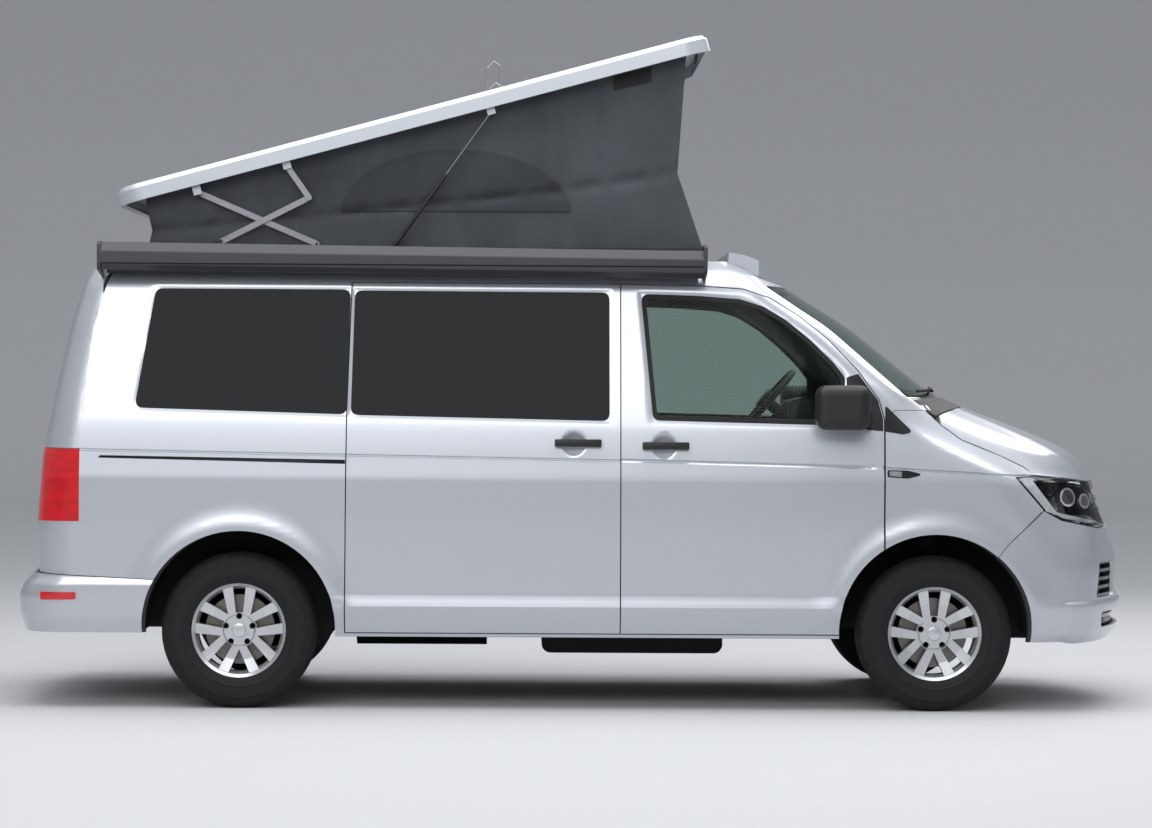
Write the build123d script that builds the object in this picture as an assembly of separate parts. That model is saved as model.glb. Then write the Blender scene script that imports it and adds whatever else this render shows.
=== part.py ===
from build123d import *
import math
import os
from collections import namedtuple

# A mid-size camper van with a raised pop-up roof, in millimetres.
# +X points forward, +Y to the left, +Z up; the origin is on the ground at mid length.

# Overall sizes
wheelbase = 3000
front_overhang = 908
rear_overhang = 996
body_width = 1904
track = 1628
side_wall = 90
end_wall = 70
roof_wall = 30
door_thickness = 50
door_rebate = 55
panel_gap = 5
glass_thickness = 6
seat_gap = 0.3
pin_radius = 6
clearance = 0.05

# Wheels and tyres
tyre_radius = 335
tyre_width = 215
tyre_bead_radius = 203
rim_radius = 214
rim_width = 170
bolt_circle = 120
bolt_count = 5
hub_bore = 65

# Wheel arches
arch_radius = 415
arch_rise = 17
liner_thickness = 8
shaft_opening = 105
front_liner_inner = 500
rear_liner_inner = 620

length = front_overhang + wheelbase + rear_overhang
half_width = body_width / 2
front_axle = length / 2 - front_overhang
rear_axle = front_axle - wheelbase
wheel_y = track / 2
floor_top = 430
sill_bottom = 310

# Plan outlines of the body, one row a height: how far the side tucks in from the widest, then
# how far the tail reaches behind the rear axle and the nose ahead of the front axle, at the
# centre and where its curve would meet the side, with the corner's radius.
Section = namedtuple("Section", "height tuck tail tail_corner tail_radius nose nose_corner nose_radius")
body_sections = [
    Section(310, 59, 874, 834, 150, 756, 506, 300),
    Section(455, 5, 889, 849, 170, 776, 516, 300),
    Section(500, 16, 894, 854, 170, 786, 521, 300),
    Section(800, 2, 920, 864, 180, 856, 596, 380),
    Section(990, 0, 907, 850, 180, 806, 416, 400),
    Section(1075, 9, 901, 844, 180, 753, 163, 300),
    Section(1140, 15, 890, 834, 180, 662, -36, 250),
    Section(1250, 28, 869, 812, 170, 387, -172, 200),
    Section(1345, 44, 852, 794, 160, 96, -178, 120),
    Section(1660, 96, 784, 729, 140, -300, -527, 120),
    Section(1830, 130, 734, 679, 120, -574, -774, 120),
    Section(1880, 167, 714, 654, 100, -664, -800, 110),
    Section(1920, 232, 684, 624, 90, -754, -850, 100),
    Section(1945, 297, 634, 584, 80, -844, -904, 80),
]
front_bumper_sections = [
    Section(300, 47, 0, 0, 80, 856, 556, 300),
    Section(345, 27, 0, 0, 80, 896, 596, 300),
    Section(455, 3, 0, 0, 80, 908, 606, 320),
    Section(640, 1, 0, 0, 80, 908, 616, 340),
    Section(727, 0, 0, 0, 80, 876, 606, 360),
    Section(800, 1, 0, 0, 80, 858, 597, 380),
    Section(880, 1, 0, 0, 80, 838, 540, 390),
]
rear_bumper_sections = [
    Section(325, 40, 962, 900, 200, 0, 0, 80),
    Section(400, 14, 992, 930, 210, 0, 0, 80),
    Section(490, 4, 996, 930, 210, 0, 0, 80),
    Section(552, 2, 966, 905, 200, 0, 0, 80),
    Section(580, 2, 934, 880, 190, 0, 0, 80),
]
waist = 1000


def plan_outline(section, side_in, end_in, height):
    """Closed outline of the body at one height, drawn in by the side and end walls."""
    half = half_width - section.tuck - side_in
    tail = rear_axle - section.tail + end_in
    tail_corner = rear_axle - section.tail_corner + end_in
    nose = front_axle + section.nose - end_in
    nose_corner = front_axle + section.nose_corner - end_in
    if tail_corner == tail:
        rear = Line((tail, half), (tail, -half))
    else:
        rear = ThreePointArc((tail_corner, half), (tail, 0), (tail_corner, -half))
    if nose_corner == nose:
        front = Line((nose, -half), (nose, half))
    else:
        front = ThreePointArc((nose_corner, -half), (nose, 0), (nose_corner, half))
    sides = [Line((nose_corner, half), (tail_corner, half)), Line((tail_corner, -half), (nose_corner, -half))]
    face = make_face([front, sides[0], rear, sides[1]])
    ends = face.vertices().sort_by(Axis.X)
    face = fillet(ends[:2], max(section.tail_radius - end_in, 20))
    ends = face.vertices().sort_by(Axis.X)
    face = fillet(ends[-2:], max(section.nose_radius - end_in, 20))
    return Pos(0, 0, height) * face


def form(sections, side_in=0.0, end_in=0.0, top_in=0.0, bottom_out=0.0):
    """Solid through the plan outlines, drawn in by walls; its floor may drop to leave a shell open."""
    outlines = []
    for section in sections:
        height = section.height
        if section is sections[0]:
            height = height - bottom_out
        if height > waist:
            height = height - top_in
        outlines.append(plan_outline(section, side_in, end_in, height))
    return loft([outline.face() for outline in outlines], ruled=True)


def side_face(points, radius=0.0):
    """Face in the side view from points (x, z), with its corners rounded."""
    face = make_face(Plane.XZ * Polyline(*points, close=True))
    if radius:
        face = fillet(face.vertices(), radius)
    return face


def side_prism(points, radius=0.0, grow=0.0, near=0.0, far=1300.0, side=-1):
    """Prism across the van from a side-view outline; side is -1 on the right and +1 on the left."""
    face = side_face(points, radius)
    if grow:
        face = offset(face, grow, kind=Kind.INTERSECTION)
    prism = extrude(face, amount=far - near, dir=(0, side, 0))
    return Pos(0, side * near, 0) * prism


def end_prism(points, low_x, high_x, radius=0.0, grow=0.0):
    """Prism along the van from an end-view outline of points (y, z)."""
    face = make_face(Plane.YZ * Polyline(*points, close=True))
    if radius:
        face = fillet(face.vertices(), radius)
    if grow:
        face = offset(face, grow, kind=Kind.INTERSECTION)
    return Pos(low_x, 0, 0) * extrude(face, amount=high_x - low_x, dir=(1, 0, 0))


def block(low, high):
    """Box between its lowest and highest corners."""
    size = [b - a for a, b in zip(low, high)]
    middle = [(a + b) / 2 for a, b in zip(low, high)]
    return Pos(*middle) * Box(*size)


def both(shape):
    """A piece and its mirror image on the other side of the van."""
    return Compound([*shape.solids(), *mirror(shape, Plane.XZ).solids()])


def full_width(points, half=1300.0, grow=0.0):
    """Prism over the whole width from a side-view outline."""
    return side_prism(points, 0, grow, 0, half, -1) + side_prism(points, 0, grow, 0, half, 1)


def bar_across(x, z, radius, near, far, side=-1):
    """Round bar along Y on one side."""
    return Pos(x, side * (near + far) / 2, z) * Rot(90, 0, 0) * Cylinder(radius, far - near)


pieces = {}


def keep(name, shape):
    """Keep a piece under its node's name."""
    pieces[name] = shape


# Body forms: skin, back of the glass, its seat, back of the doors, face of their frames, inner wall
skin = form(body_sections)
glass_back = form(body_sections, glass_thickness, glass_thickness, glass_thickness, 10)
glass_seat = form(
    body_sections, glass_thickness + seat_gap, glass_thickness + seat_gap, glass_thickness + seat_gap, 10
)
door_back = form(body_sections, door_thickness, door_thickness * 0.8, roof_wall - 5, 20)
frame_face = form(body_sections, door_rebate, door_thickness * 0.8 + panel_gap, roof_wall - 4, 20)
inner = form(body_sections, side_wall, end_wall, roof_wall, 30)
cabin = form(body_sections, side_wall + seat_gap, end_wall + seat_gap, roof_wall + seat_gap, 30)

glazing = skin - glass_back
door_layer = skin - door_back
wall = skin - inner


def skin_moved_in(depth, side):
    """The outer form moved towards the middle of the van from one side."""
    return Pos(0, -side * depth, 0) * skin


# Side-view outlines, as points (x, z)
sliding_rear = -994
door_seam = 186
front_seam = 1316
door_top = 1836
door_bottom = 330
sliding_outline = [
    (sliding_rear - 4, door_bottom),
    (door_seam - panel_gap / 2, door_bottom),
    (door_seam + 10, door_top),
    (sliding_rear + 16, door_top),
    (sliding_rear, 1260),
]
front_door_outline = [
    (door_seam + panel_gap / 2, door_bottom),
    (door_seam - 5 + panel_gap / 2, door_top),
    (520, 1831),
    (715, 1817),
    (822, 1782),
    (951, 1705),
    (1080, 1600),
    (1209, 1463),
    (1294, 1342),
    (front_seam, 1260),
    (front_seam, door_bottom),
]
quarter_window = [(-1826, 1808), (sliding_rear + 9, 1808), (sliding_rear - 2, 1268), (-1908, 1292)]
sliding_window = [(sliding_rear + 27, 1804), (133, 1802), (135, 1246), (sliding_rear + 15, 1266)]
front_window = [
    (268, 1797),
    (519, 1790),
    (700, 1776),
    (800, 1745),
    (900, 1685),
    (1000, 1603),
    (1100, 1505),
    (1150, 1440),
    (1150, 1232),
    (322, 1250),
]
left_front_window = [(-860, 1802), (135, 1802), (135, 1246), (-860, 1262)]

# Bonnet line and nose, as points (x, z)
bonnet_line = [
    (1509, 1300),
    (1573, 1238),
    (1659, 1173),
    (1832, 1105),
    (1939, 1053),
    (1983, 1022),
]
lamp_outline = [
    (1885, 1016),
    (1983, 1020),
    (2110, 1008),
    (2244, 990),
    (2600, 975),
    (2600, 787),
    (2296, 787),
    (2090, 829),
    (2010, 873),
]
bumper_seam = [(1856, 724), (2009, 868), (2090, 826), (2296, 784)]

# Wheel arches
arch_z = tyre_radius + arch_rise


def arch_cut(x, radius, near, far, side):
    return bar_across(x, arch_z, radius, near, far, side)


arches = [
    arch_cut(x, arch_radius, near, 1300, side)
    for x, near in ((front_axle, front_liner_inner), (rear_axle, rear_liner_inner))
    for side in (-1, 1)
]


# Front doors swing about an upright axis at their front seam, so their rear edge is turned about it
door_axis = (front_seam - 0.5, half_width + 1)
door_reach = door_axis[0] - front_door_outline[0][0]


def door_sweep(radius, side):
    """Upright cylinder about a front door's hinge axis."""
    return Pos(door_axis[0], side * door_axis[1], 1000) * Cylinder(radius, 2000)


def seated_pane(points, side, radius=30.0):
    """Bonded side pane whose face is flush with the skin."""
    return glazing & side_prism(points, radius, -1.0, 300, 1300, side)


def window_cutters(points, side, radius=30.0, flange=22.0):
    """Cutters for a side window: a shallow seat for the pane and a through opening inside it."""
    seat = side_prism(points, radius, 0.0, 300, 1300, side) - glass_seat
    opening = side_prism(points, radius, -flange, 300, 1300, side)
    return [seat, opening]


# Cowl: what stays of the body ahead of the doors, up to the bonnet's curved rear edge
bonnet_rear_centre = 1745
bonnet_rear_side = 1560
bonnet_half = 760
cowl_half = 840
cowl_face = make_face(
    [
        ThreePointArc(
            (bonnet_rear_side, -bonnet_half), (bonnet_rear_centre, 0), (bonnet_rear_side, bonnet_half)
        ),
        Polyline(
            (bonnet_rear_side, bonnet_half),
            (bonnet_rear_side, cowl_half),
            (1300, cowl_half),
            (1300, -cowl_half),
            (bonnet_rear_side, -cowl_half),
            (bonnet_rear_side, -bonnet_half),
        ),
    ]
)
cowl_inner = form(body_sections, 40, 30, 25, 20)
thin_wall = skin - cowl_inner
wing_points = [
    (front_seam + panel_gap, 500),
    (front_seam + panel_gap, 1238),
    (1360, 1300),
    *bonnet_line,
    lamp_outline[0],
    lamp_outline[8],
    bumper_seam[0],
    (front_axle, arch_z),
]
nose_zone = block((front_seam + panel_gap, -1300, 200), (2700, 1300, 1302)) + block(
    (1560, -1300, 1200), (2700, 1300, 1400)
)
cowl_zone = Pos(0, 0, 1180) * extrude(cowl_face, amount=200)

# Tailgate outline, seen from behind
tail_split = -2100
tailgate_half_low = 742
tailgate_half_top = 700
tailgate_bottom = 586
tailgate_points = [
    (-tailgate_half_low, tailgate_bottom),
    (tailgate_half_low, tailgate_bottom),
    (tailgate_half_low, 1120),
    (tailgate_half_top, 1990),
    (-tailgate_half_top, 1990),
    (-tailgate_half_low, 1120),
]

# Body shell
lamp_low = 803
lamp_high = 1113
lamp_inner = 755
lamp_front = -2139
lamp_zone = block((-2700, -1300, lamp_low), (lamp_front, -lamp_inner, lamp_high))
lamp_pocket = block((-2700, -1300, lamp_low - 2), (lamp_front + 2, -lamp_inner + 2, lamp_high + 2))
lamp_back = form(body_sections, 42, 38, 20, 20)
lamp_seat = form(body_sections, 42 + seat_gap, 38 + seat_gap, 20, 20)
roof_deck = body_sections[-1].height
opening_rear = -1850
opening_front = 500
opening_half = 560
screen_points = [(-775, 1356), (775, 1356), (700, 1838), (-700, 1838)]
rear_bumper_zone = [(-2700, 200), (-2700, 580), (-2330, 577), (-1800, 552), (rear_axle, 548), (rear_axle, 200)]

door_rebates = [
    (side_prism(front_door_outline, 0, panel_gap, 300, 1300, side) & door_sweep(door_reach + panel_gap, side))
    - skin_moved_in(door_rebate, side)
    for side in (-1, 1)
]
rebates = [side_prism(sliding_outline, 0, panel_gap, 300, 1300, -1)]
rebates += [end_prism(tailgate_points, -2700, tail_split + panel_gap, 0, panel_gap)]
doorways = [side_prism(front_door_outline, 0, -door_rebate, 300, 1300, side) for side in (-1, 1)]
doorways += [side_prism(sliding_outline, 0, -door_rebate, 300, 1300, -1)]
doorways += [
    end_prism(tailgate_points, -2700, tail_split + panel_gap, 0, -50)
    & block((-2700, -1300, 200), (tail_split + panel_gap, 1300, 1880))
]
windows = [cutter for side in (-1, 1) for cutter in window_cutters(quarter_window, side)]
windows += window_cutters(left_front_window, 1)
windows += [end_prism(screen_points, 700, 1800, 60) - glass_seat, end_prism(screen_points, 700, 1800, 60, -22)]
body = wall - [
    nose_zone,
    *door_rebates,
    *[rebate - frame_face for rebate in rebates],
    *doorways,
    *windows,
    both(lamp_pocket - lamp_seat),
    block((opening_rear, -opening_half, 1800), (opening_front, opening_half, 2100)),
    *arches,
    full_width(rear_bumper_zone, 1300, seat_gap),
]
wing_gaps = [side_prism(wing_points, 0, seat_gap - panel_gap / 2, 500, 1300, side) for side in (-1, 1)]
body += (thin_wall & cowl_zone & nose_zone) - [*wing_gaps, *windows[-2:]]
keep("windscreen", glazing & end_prism(screen_points, 700, 1800, 60, -1))
keep("tail_lamps", both((skin - lamp_back) & lamp_zone))

# Panels that open or bolt on
sliding_door = door_layer & side_prism(sliding_outline, 0, 0, 300, 1300, -1)
sliding_door -= [door_sweep(door_reach + panel_gap, -1), *window_cutters(sliding_window, -1)]
keep("sliding_door", sliding_door)

door = (skin - skin_moved_in(door_thickness, -1)) & side_prism(front_door_outline, 0, 0, 300, 1300, -1)
door &= door_sweep(door_reach, -1)
door -= [arches[0], *window_cutters(front_window, -1)]
pane = seated_pane(front_window, -1)
keep("front_door_right", door)
keep("front_door_left", mirror(door, Plane.XZ))
keep("door_glass_right", pane)
keep("door_glass_left", mirror(pane, Plane.XZ))

# Rubber seals that the doors and the tailgate close on
seal_face = form(
    body_sections, door_thickness + seat_gap, door_thickness * 0.8 + seat_gap, roof_wall - 5 + seat_gap, 20
)
seal_layer = seal_face - frame_face
seal_near = 24
seal_far = 38
front_seal_layer = skin_moved_in(door_thickness + seat_gap, -1) - skin_moved_in(door_rebate, -1)
seals = []
for outline, layer, sides in (
    (front_door_outline, front_seal_layer, (-1, 1)),
    (sliding_outline, seal_layer, (-1,)),
):
    ring = side_prism(outline, 0, -seal_near, 300, 1300, -1) - side_prism(outline, 0, -seal_far, 300, 1300, -1)
    seal = (layer & ring) - arches[0]
    for side in sides:
        seals += (seal if side == -1 else mirror(seal, Plane.XZ)).solids()
tail_ring = end_prism(tailgate_points, -2700, tail_split - 20, 0, -seal_near)
tail_ring -= end_prism(tailgate_points, -2700, tail_split - 20, 0, -seal_far)
seals += (seal_layer & tail_ring).solids()
keep("door_seals", Compound(seals))

panes = [seated_pane(quarter_window, side) for side in (-1, 1)]
panes += [seated_pane(sliding_window, -1), seated_pane(left_front_window, 1)]
keep("side_glass", Compound([solid for pane in panes for solid in pane.solids()]))

# Tailgate and its glass
tail_window = [(-690, 1246), (690, 1246), (640, 1800), (-640, 1800)]
tailgate = door_layer & end_prism(tailgate_points, -2700, tail_split)
tailgate -= [
    end_prism(tail_window, -2700, tail_split, 50) - glass_seat,
    end_prism(tail_window, -2700, tail_split, 50, -25),
]
keep("tailgate", tailgate)
keep("tailgate_glass", glazing & end_prism(tail_window, -2700, tail_split, 50, -1))

# Bonnet
bonnet_zone_points = [(1480, 1500), (1480, 1330), *bonnet_line, *lamp_outline[2:4], (2700, 975), (2700, 1500)]
bonnet_zone = full_width(bonnet_zone_points, 1300, -panel_gap / 2)
cowl_gap = 9
bonnet = (thin_wall & bonnet_zone) - Pos(0, 0, 1100) * extrude(offset(cowl_face, cowl_gap), amount=400)

# Bonnet hinges: a gooseneck strap that reaches round the cowl's edge, on a pin in a bracket under it
bonnet_pivot = (1535, 1271)
hinge_near = 600
hinge_thickness = 6
bracket_face = 612
# The bracket stands clear of the wings' upper ends
bracket_rear = 1529
neck_half = 11
bend_inner = 105
bend_outer = 129


def about_pivot(radius, angle):
    """Point at a radius and angle in degrees from the bonnet's pivot."""
    turn = math.radians(angle)
    return (bonnet_pivot[0] + radius * math.cos(turn), bonnet_pivot[1] + radius * math.sin(turn))


strap_points = [(bonnet_pivot[0] - neck_half, bonnet_pivot[1] + neck_half - 2)]
strap_points += [about_pivot(bend_outer, angle) for angle in (-95, -80, -64, -48, -34)]
strap_points += [(1685, 1224), (1685, 1246), (1650, 1262)]
strap_points += [about_pivot(bend_inner, angle) for angle in (-24, -38, -52, -66, -84)]
strap_points += [(bonnet_pivot[0] + neck_half, bonnet_pivot[1] + neck_half - 2)]
for side in (-1, 1):
    strap = side_prism(strap_points, 0, 0, hinge_near, hinge_near + hinge_thickness, side)
    strap -= bar_across(*bonnet_pivot, pin_radius + clearance, hinge_near - 5, bracket_face, side)
    bonnet += strap
    low_y, high_y = sorted((side * bracket_face, side * (bracket_face + 10)))
    body += block((bracket_rear, low_y, 1256), (1550, high_y, 1308))
    body += bar_across(*bonnet_pivot, pin_radius, hinge_near - 2, bracket_face + 5, side)
keep("body_shell", body)
keep("bonnet", bonnet)

# Wings
wing_layer = skin - form(body_sections, 60, 50, 25, 20)
wing = (wing_layer & side_prism(wing_points, 0, -panel_gap / 2, 500, 1300, -1)) - arches[0]
keep("wing_right", wing)
keep("wing_left", mirror(wing, Plane.XZ))

# Headlamps
lamp_inner_half = 470
lamp_layer = skin - form(body_sections, 120, 130, 60, 20)
keep("headlamps", both(lamp_layer & side_prism(lamp_outline, 0, -panel_gap / 2, lamp_inner_half, 1300, -1)))

# Front bumper with its openings
bumper_skin = form(front_bumper_sections)
bumper_inner = form(front_bumper_sections, 60, 55, 0, 20)
bumper_zone = [(front_axle, 250), (front_axle, arch_z), *bumper_seam, (2600, 784), (2600, 250)]
bumper = (bumper_skin - bumper_inner) & full_width(bumper_zone, 1300, panel_gap / 2 - seat_gap)
intake_low = 487
intake_high = 640
intake_centre_half = 430
intake_side_near = 480
intake_side_far = 770
lower_low = 356
lower_high = 424
openings = [
    end_prism([(-430, intake_low), (430, intake_low), (430, intake_high), (-430, intake_high)], 2000, 2700, 20),
    end_prism([(-700, lower_low), (700, lower_low), (740, lower_high), (-740, lower_high)], 2000, 2700, 20),
]
for side in (-1, 1):
    ends = [side * intake_side_near, side * intake_side_far]
    openings.append(
        end_prism(
            [(ends[0], intake_low), (ends[1], intake_low), (ends[1] - side * 30, intake_high), (ends[0], intake_high)],
            2000,
            2700,
            15,
        )
    )
keep("front_bumper", bumper - [*openings, *arches[:2]])

# Grilles: slats standing proud of a backing, in each opening of the bumper and between the lamps
slat_height = 14
slat_pitch = 36
grille_face = form(front_bumper_sections, 12, 12, 0, 20)
grille_floor = form(front_bumper_sections, 38, 38, 0, 20)
grille_back = form(front_bumper_sections, 45, 45, 0, 20)
grooves = []
for low, high in ((intake_low, intake_high), (lower_low, lower_high)):
    for z in range(low - slat_pitch, high, slat_pitch):
        grooves.append(block((1900, -900, z + slat_height), (2600, 900, z + slat_pitch)))
lower_grilles = ((grille_face - grille_back) & Compound(openings)) - (Compound(grooves) - grille_floor)
upper_base = [(x, z + panel_gap - seat_gap) for x, z in bumper_seam[-2:]]
upper_top = [(x, z - panel_gap + seat_gap) for x, z in lamp_outline[4:1:-1]]
upper_points = [*upper_base, (2600, upper_base[-1][1]), *upper_top]
upper_zone = full_width(upper_points, lamp_inner_half - seat_gap, panel_gap / 2 - seat_gap)
upper_grooves = [
    block((2100, -lamp_inner_half + 20, z), (2600, lamp_inner_half - 20, z + 32)) for z in (818, 868, 918)
]
upper_face = form(body_sections, 4, 10, 4, 20)
upper_floor = form(body_sections, 4, 45, 4, 20)
upper_back = form(body_sections, 60, 60, 20, 20)
upper_grille = ((upper_face - upper_back) & upper_zone) - (Compound(upper_grooves) - upper_floor)
keep("grille", Compound([*lower_grilles.solids(), *upper_grille.solids()]))

# Rear bumper
rear_skin = form(rear_bumper_sections)
rear_inner = form(rear_bumper_sections, 60, 60, 0, 20)
rear_bumper = (rear_skin - rear_inner) & full_width(rear_bumper_zone)
keep("rear_bumper", rear_bumper - arches[2:])

# Floor, wheelhouses and bulkhead
floor = block((rear_axle - 860, -1000, floor_top - 30), (front_seam, 1000, floor_top)) & cabin
for y in (-560, 560):
    floor += block((rear_axle + 480, y - 40, sill_bottom + 20), (front_axle - 480, y + 40, floor_top - 30))
rail_low = 290.3
rail_near = 410
rail_far = 470
rail_front = front_axle + 700
for side in (-1, 1):
    low_y, high_y = sorted((side * rail_near, side * rail_far))
    floor += block((front_seam - 40, low_y, rail_low), (rail_front, high_y, floor_top - 10))
bulkhead_x = front_seam - 20
floor += block((bulkhead_x, -1000, floor_top - 30), (bulkhead_x + 12, 1000, 1290)) & cabin
for x, near in ((front_axle, front_liner_inner), (rear_axle, rear_liner_inner)):
    for side in (-1, 1):
        floor -= arch_cut(x, arch_radius, near, 1300, side)
        liner = arch_cut(x, arch_radius + liner_thickness, near - liner_thickness, 1300, side)
        liner -= arch_cut(x, arch_radius, near, 1300, side)
        liner &= block((x - 700, -1300, tyre_radius - 5), (x + 700, 1300, 1000))
        floor += liner & cabin
        floor -= arch_cut(x, shaft_opening, near - 40, near + 5, side)
keep("floor_pan", floor)

# Roof frame, fairing
frame_outer_half = 645
frame_height = 55
frame = block(
    (opening_rear - 60, -frame_outer_half, roof_deck), (opening_front + 60, frame_outer_half, roof_deck + frame_height)
)
frame -= block(
    (opening_rear, -opening_half, roof_deck - 10), (opening_front, opening_half, roof_deck + frame_height + 10)
)
keep("roof_frame", frame)
seated = form(body_sections, -seat_gap, -seat_gap, -seat_gap)
fairing_points = [(652, 1900), (660, 1985), (735, 1972), (850, 1925), (945, 1852), (950, 1830)]
fairing_plan = make_face(
    [
        ThreePointArc((790, -640), (950, 0), (790, 640)),
        Line((790, 640), (652, 640)),
        Line((652, 640), (652, -640)),
        Line((652, -640), (790, -640)),
    ]
)
fairing = full_width(fairing_points, 640)
fairing &= Pos(0, 0, 1800) * extrude(fairing_plan, amount=300)
keep("roof_fairing", fairing - seated)

# Awning case with its rail on the roof edge
awning_rear = -2057
awning_front = 539
awning_low = 1872
awning_height = 118
awning_near = 850
awning_depth = 105
awning_slope = 0.5
case = make_face(
    Plane.YZ
    * Polyline(
        (-awning_near, 0),
        (-awning_near - awning_depth * 0.7, 0),
        (-awning_near - awning_depth, 22),
        (-awning_near - awning_depth, awning_height - 40),
        (-awning_near - awning_depth * 0.72, awning_height),
        (-awning_near, awning_height),
        close=True,
    )
)
case = extrude(fillet(case.vertices(), 9), amount=awning_front - awning_rear, dir=(1, 0, 0))
case = Pos(awning_rear, 0, awning_low + 13) * Rot(0, awning_slope, 0) * case
rail = block((awning_rear + 20, -awning_near - 4, 1872), (awning_front - 20, -740, 1892)) - seated
keep("awning_case", (case + rail).solids()[0])

# Raised roof: its shell lies on the frame when closed and is tilted up about two pairs of arms
roof_open_angle = 15.2
roof_rear = (-2004.0, 2167.0)
roof_length = 2672
roof_half = 720
shell_height = 75
shell_wall = 25
arm_pivot = (-1144.0, 2010.0)
arm_on_roof = (-1663.0, 2231.0)
knee_pivot = (-1570.0, 2011.0)
knee = (-1178.0, 2211.0)
knee_on_roof = (-1273.0, 2346.0)
strut_pivot = (-798.0, 2010.0)
strut_on_roof = (-385.0, 2590.0)
arm_width = 25
arm_thickness = 5
arm_near = 652
knee_near = 662
upper_near = 672
bracket_near = 682
strut_y = 672
strut_foot_radius = 5
tube_length = 360
tube_radius = 9
rod_radius = 4
rod_low = 325


def tilt(shape):
    """Turn a piece made lying flat on its rear lower edge into the raised place."""
    return Pos(roof_rear[0], 0, roof_rear[1]) * Rot(0, -roof_open_angle, 0) * shape


def flat_bar(start, end, near, side=-1, width=arm_width, thickness=arm_thickness):
    """Flat bar between two pivots (x, z), with round ends, on one side."""
    span = math.dist(start, end)
    turn = math.degrees(math.atan2(end[1] - start[1], end[0] - start[0]))
    outline = make_face(Plane.XZ * SlotCenterToCenter(span, width).wire())
    bar = extrude(outline, amount=thickness, dir=(0, side, 0))
    middle = ((start[0] + end[0]) / 2, (start[1] + end[1]) / 2)
    bar = Pos(middle[0], side * near, middle[1]) * Rot(0, -turn, 0) * bar
    return bar


pop_plan = RectangleRounded(roof_length, 2 * roof_half, 110)
pop = extrude(pop_plan, amount=shell_height)
pop = chamfer(pop.faces().sort_by(Axis.Z)[-1].edges(), 20)
pop_hollow = RectangleRounded(roof_length - 2 * shell_wall, 2 * (roof_half - shell_wall), 90)
pop -= Pos(0, 0, -1) * extrude(pop_hollow, amount=shell_height - shell_wall + 1)
pop_parts = tilt(Pos(roof_length / 2, 0, 0) * pop)


def pin_hole(point, near, thickness, side):
    return bar_across(point[0], point[1], pin_radius + clearance, near - 5, near + thickness + 5, side)


arm_parts = []
lower_parts = []
upper_parts = []
frame_parts = pieces["roof_frame"]
for side in (-1, 1):
    arm = flat_bar(arm_pivot, arm_on_roof, arm_near, side)
    for point in (arm_pivot, arm_on_roof):
        arm -= pin_hole(point, arm_near, arm_thickness, side)
    arm_parts += arm.solids()
    lower = flat_bar(knee_pivot, knee, knee_near, side)
    for point in (knee_pivot, knee):
        lower -= pin_hole(point, knee_near, arm_thickness, side)
    lower_parts += lower.solids()
    upper = flat_bar(knee, knee_on_roof, upper_near, side)
    upper += bar_across(knee[0], knee[1], pin_radius, knee_near, upper_near + 1, side)
    upper_parts += upper.solids()
    for point, far in (
        (arm_pivot, arm_near + arm_thickness + 1),
        (strut_pivot, strut_y - strut_foot_radius - seat_gap),
    ):
        low_y, high_y = sorted((side * frame_outer_half, side * (frame_outer_half + 4)))
        frame_parts += block((point[0] - 16, low_y, roof_deck + 5), (point[0] + 16, high_y, roof_deck + 80))
        frame_parts += bar_across(point[0], point[1], pin_radius, frame_outer_half, far, side)
    # The knee arm turns on a plate outside it, whose foot passes under the first arm when folded
    knee_x = knee_pivot[0]
    plate_face = knee_near + arm_thickness + 1
    low_y, high_y = sorted((side * frame_outer_half, side * (plate_face + 5)))
    frame_parts += block((knee_x - 16, low_y, roof_deck), (knee_x + 16, high_y, roof_deck + 14))
    low_y, high_y = sorted((side * plate_face, side * (plate_face + 5)))
    frame_parts += block((knee_x - 16, low_y, roof_deck), (knee_x + 16, high_y, roof_deck + 80))
    frame_parts += bar_across(*knee_pivot, pin_radius, knee_near - 0.5, plate_face + 2, side)
    for point, near in (
        (arm_on_roof, arm_near),
        (knee_on_roof, upper_near + arm_thickness + seat_gap),
        (strut_on_roof, strut_y + rod_radius + seat_gap),
    ):
        low_y, high_y = sorted((side * bracket_near, side * (bracket_near + 6)))
        bracket = block((-18, low_y, -12), (18, high_y, 82))
        pop_parts += Pos(point[0], 0, point[1]) * Rot(0, -roof_open_angle, 0) * bracket
        pop_parts += bar_across(point[0], point[1], pin_radius, near, bracket_near + 3, side)
keep("roof_frame", frame_parts)
keep("pop_roof", pop_parts)
keep("roof_arms", Compound(arm_parts))
keep("knee_arms_lower", Compound(lower_parts))
keep("knee_arms_upper", Compound(upper_parts))

# Gas struts, tube below and rod above
strut_span = math.dist(strut_pivot, strut_on_roof)
strut_turn = math.degrees(math.atan2(strut_on_roof[1] - strut_pivot[1], strut_on_roof[0] - strut_pivot[0]))
tubes = []
rods = []
for side in (-1, 1):
    place = Pos(strut_pivot[0], side * strut_y, strut_pivot[1]) * Rot(0, 90 - strut_turn, 0)
    tube = Pos(0, 0, tube_length / 2 + 14) * Cylinder(tube_radius, tube_length)
    tube -= Pos(0, 0, tube_length / 2 + 24) * Cylinder(rod_radius + 0.05, tube_length)
    tube += Pos(0, 0, 5) * Cylinder(strut_foot_radius, 20)
    tubes += (place * tube).solids()
    rod = Pos(0, 0, (rod_low + strut_span) / 2) * Cylinder(rod_radius, strut_span - rod_low)
    rods += (place * rod).solids()
keep("gas_strut_tubes", Compound(tubes))
keep("gas_strut_rods", Compound(rods))

# Bellows: a fabric tunnel between the frame and the raised shell
bellows_wall = 8
bellows_half = 625
bellows_base = roof_deck + frame_height + seat_gap
under = shell_height - shell_wall - seat_gap
tan_open = math.tan(math.radians(roof_open_angle))


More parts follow.
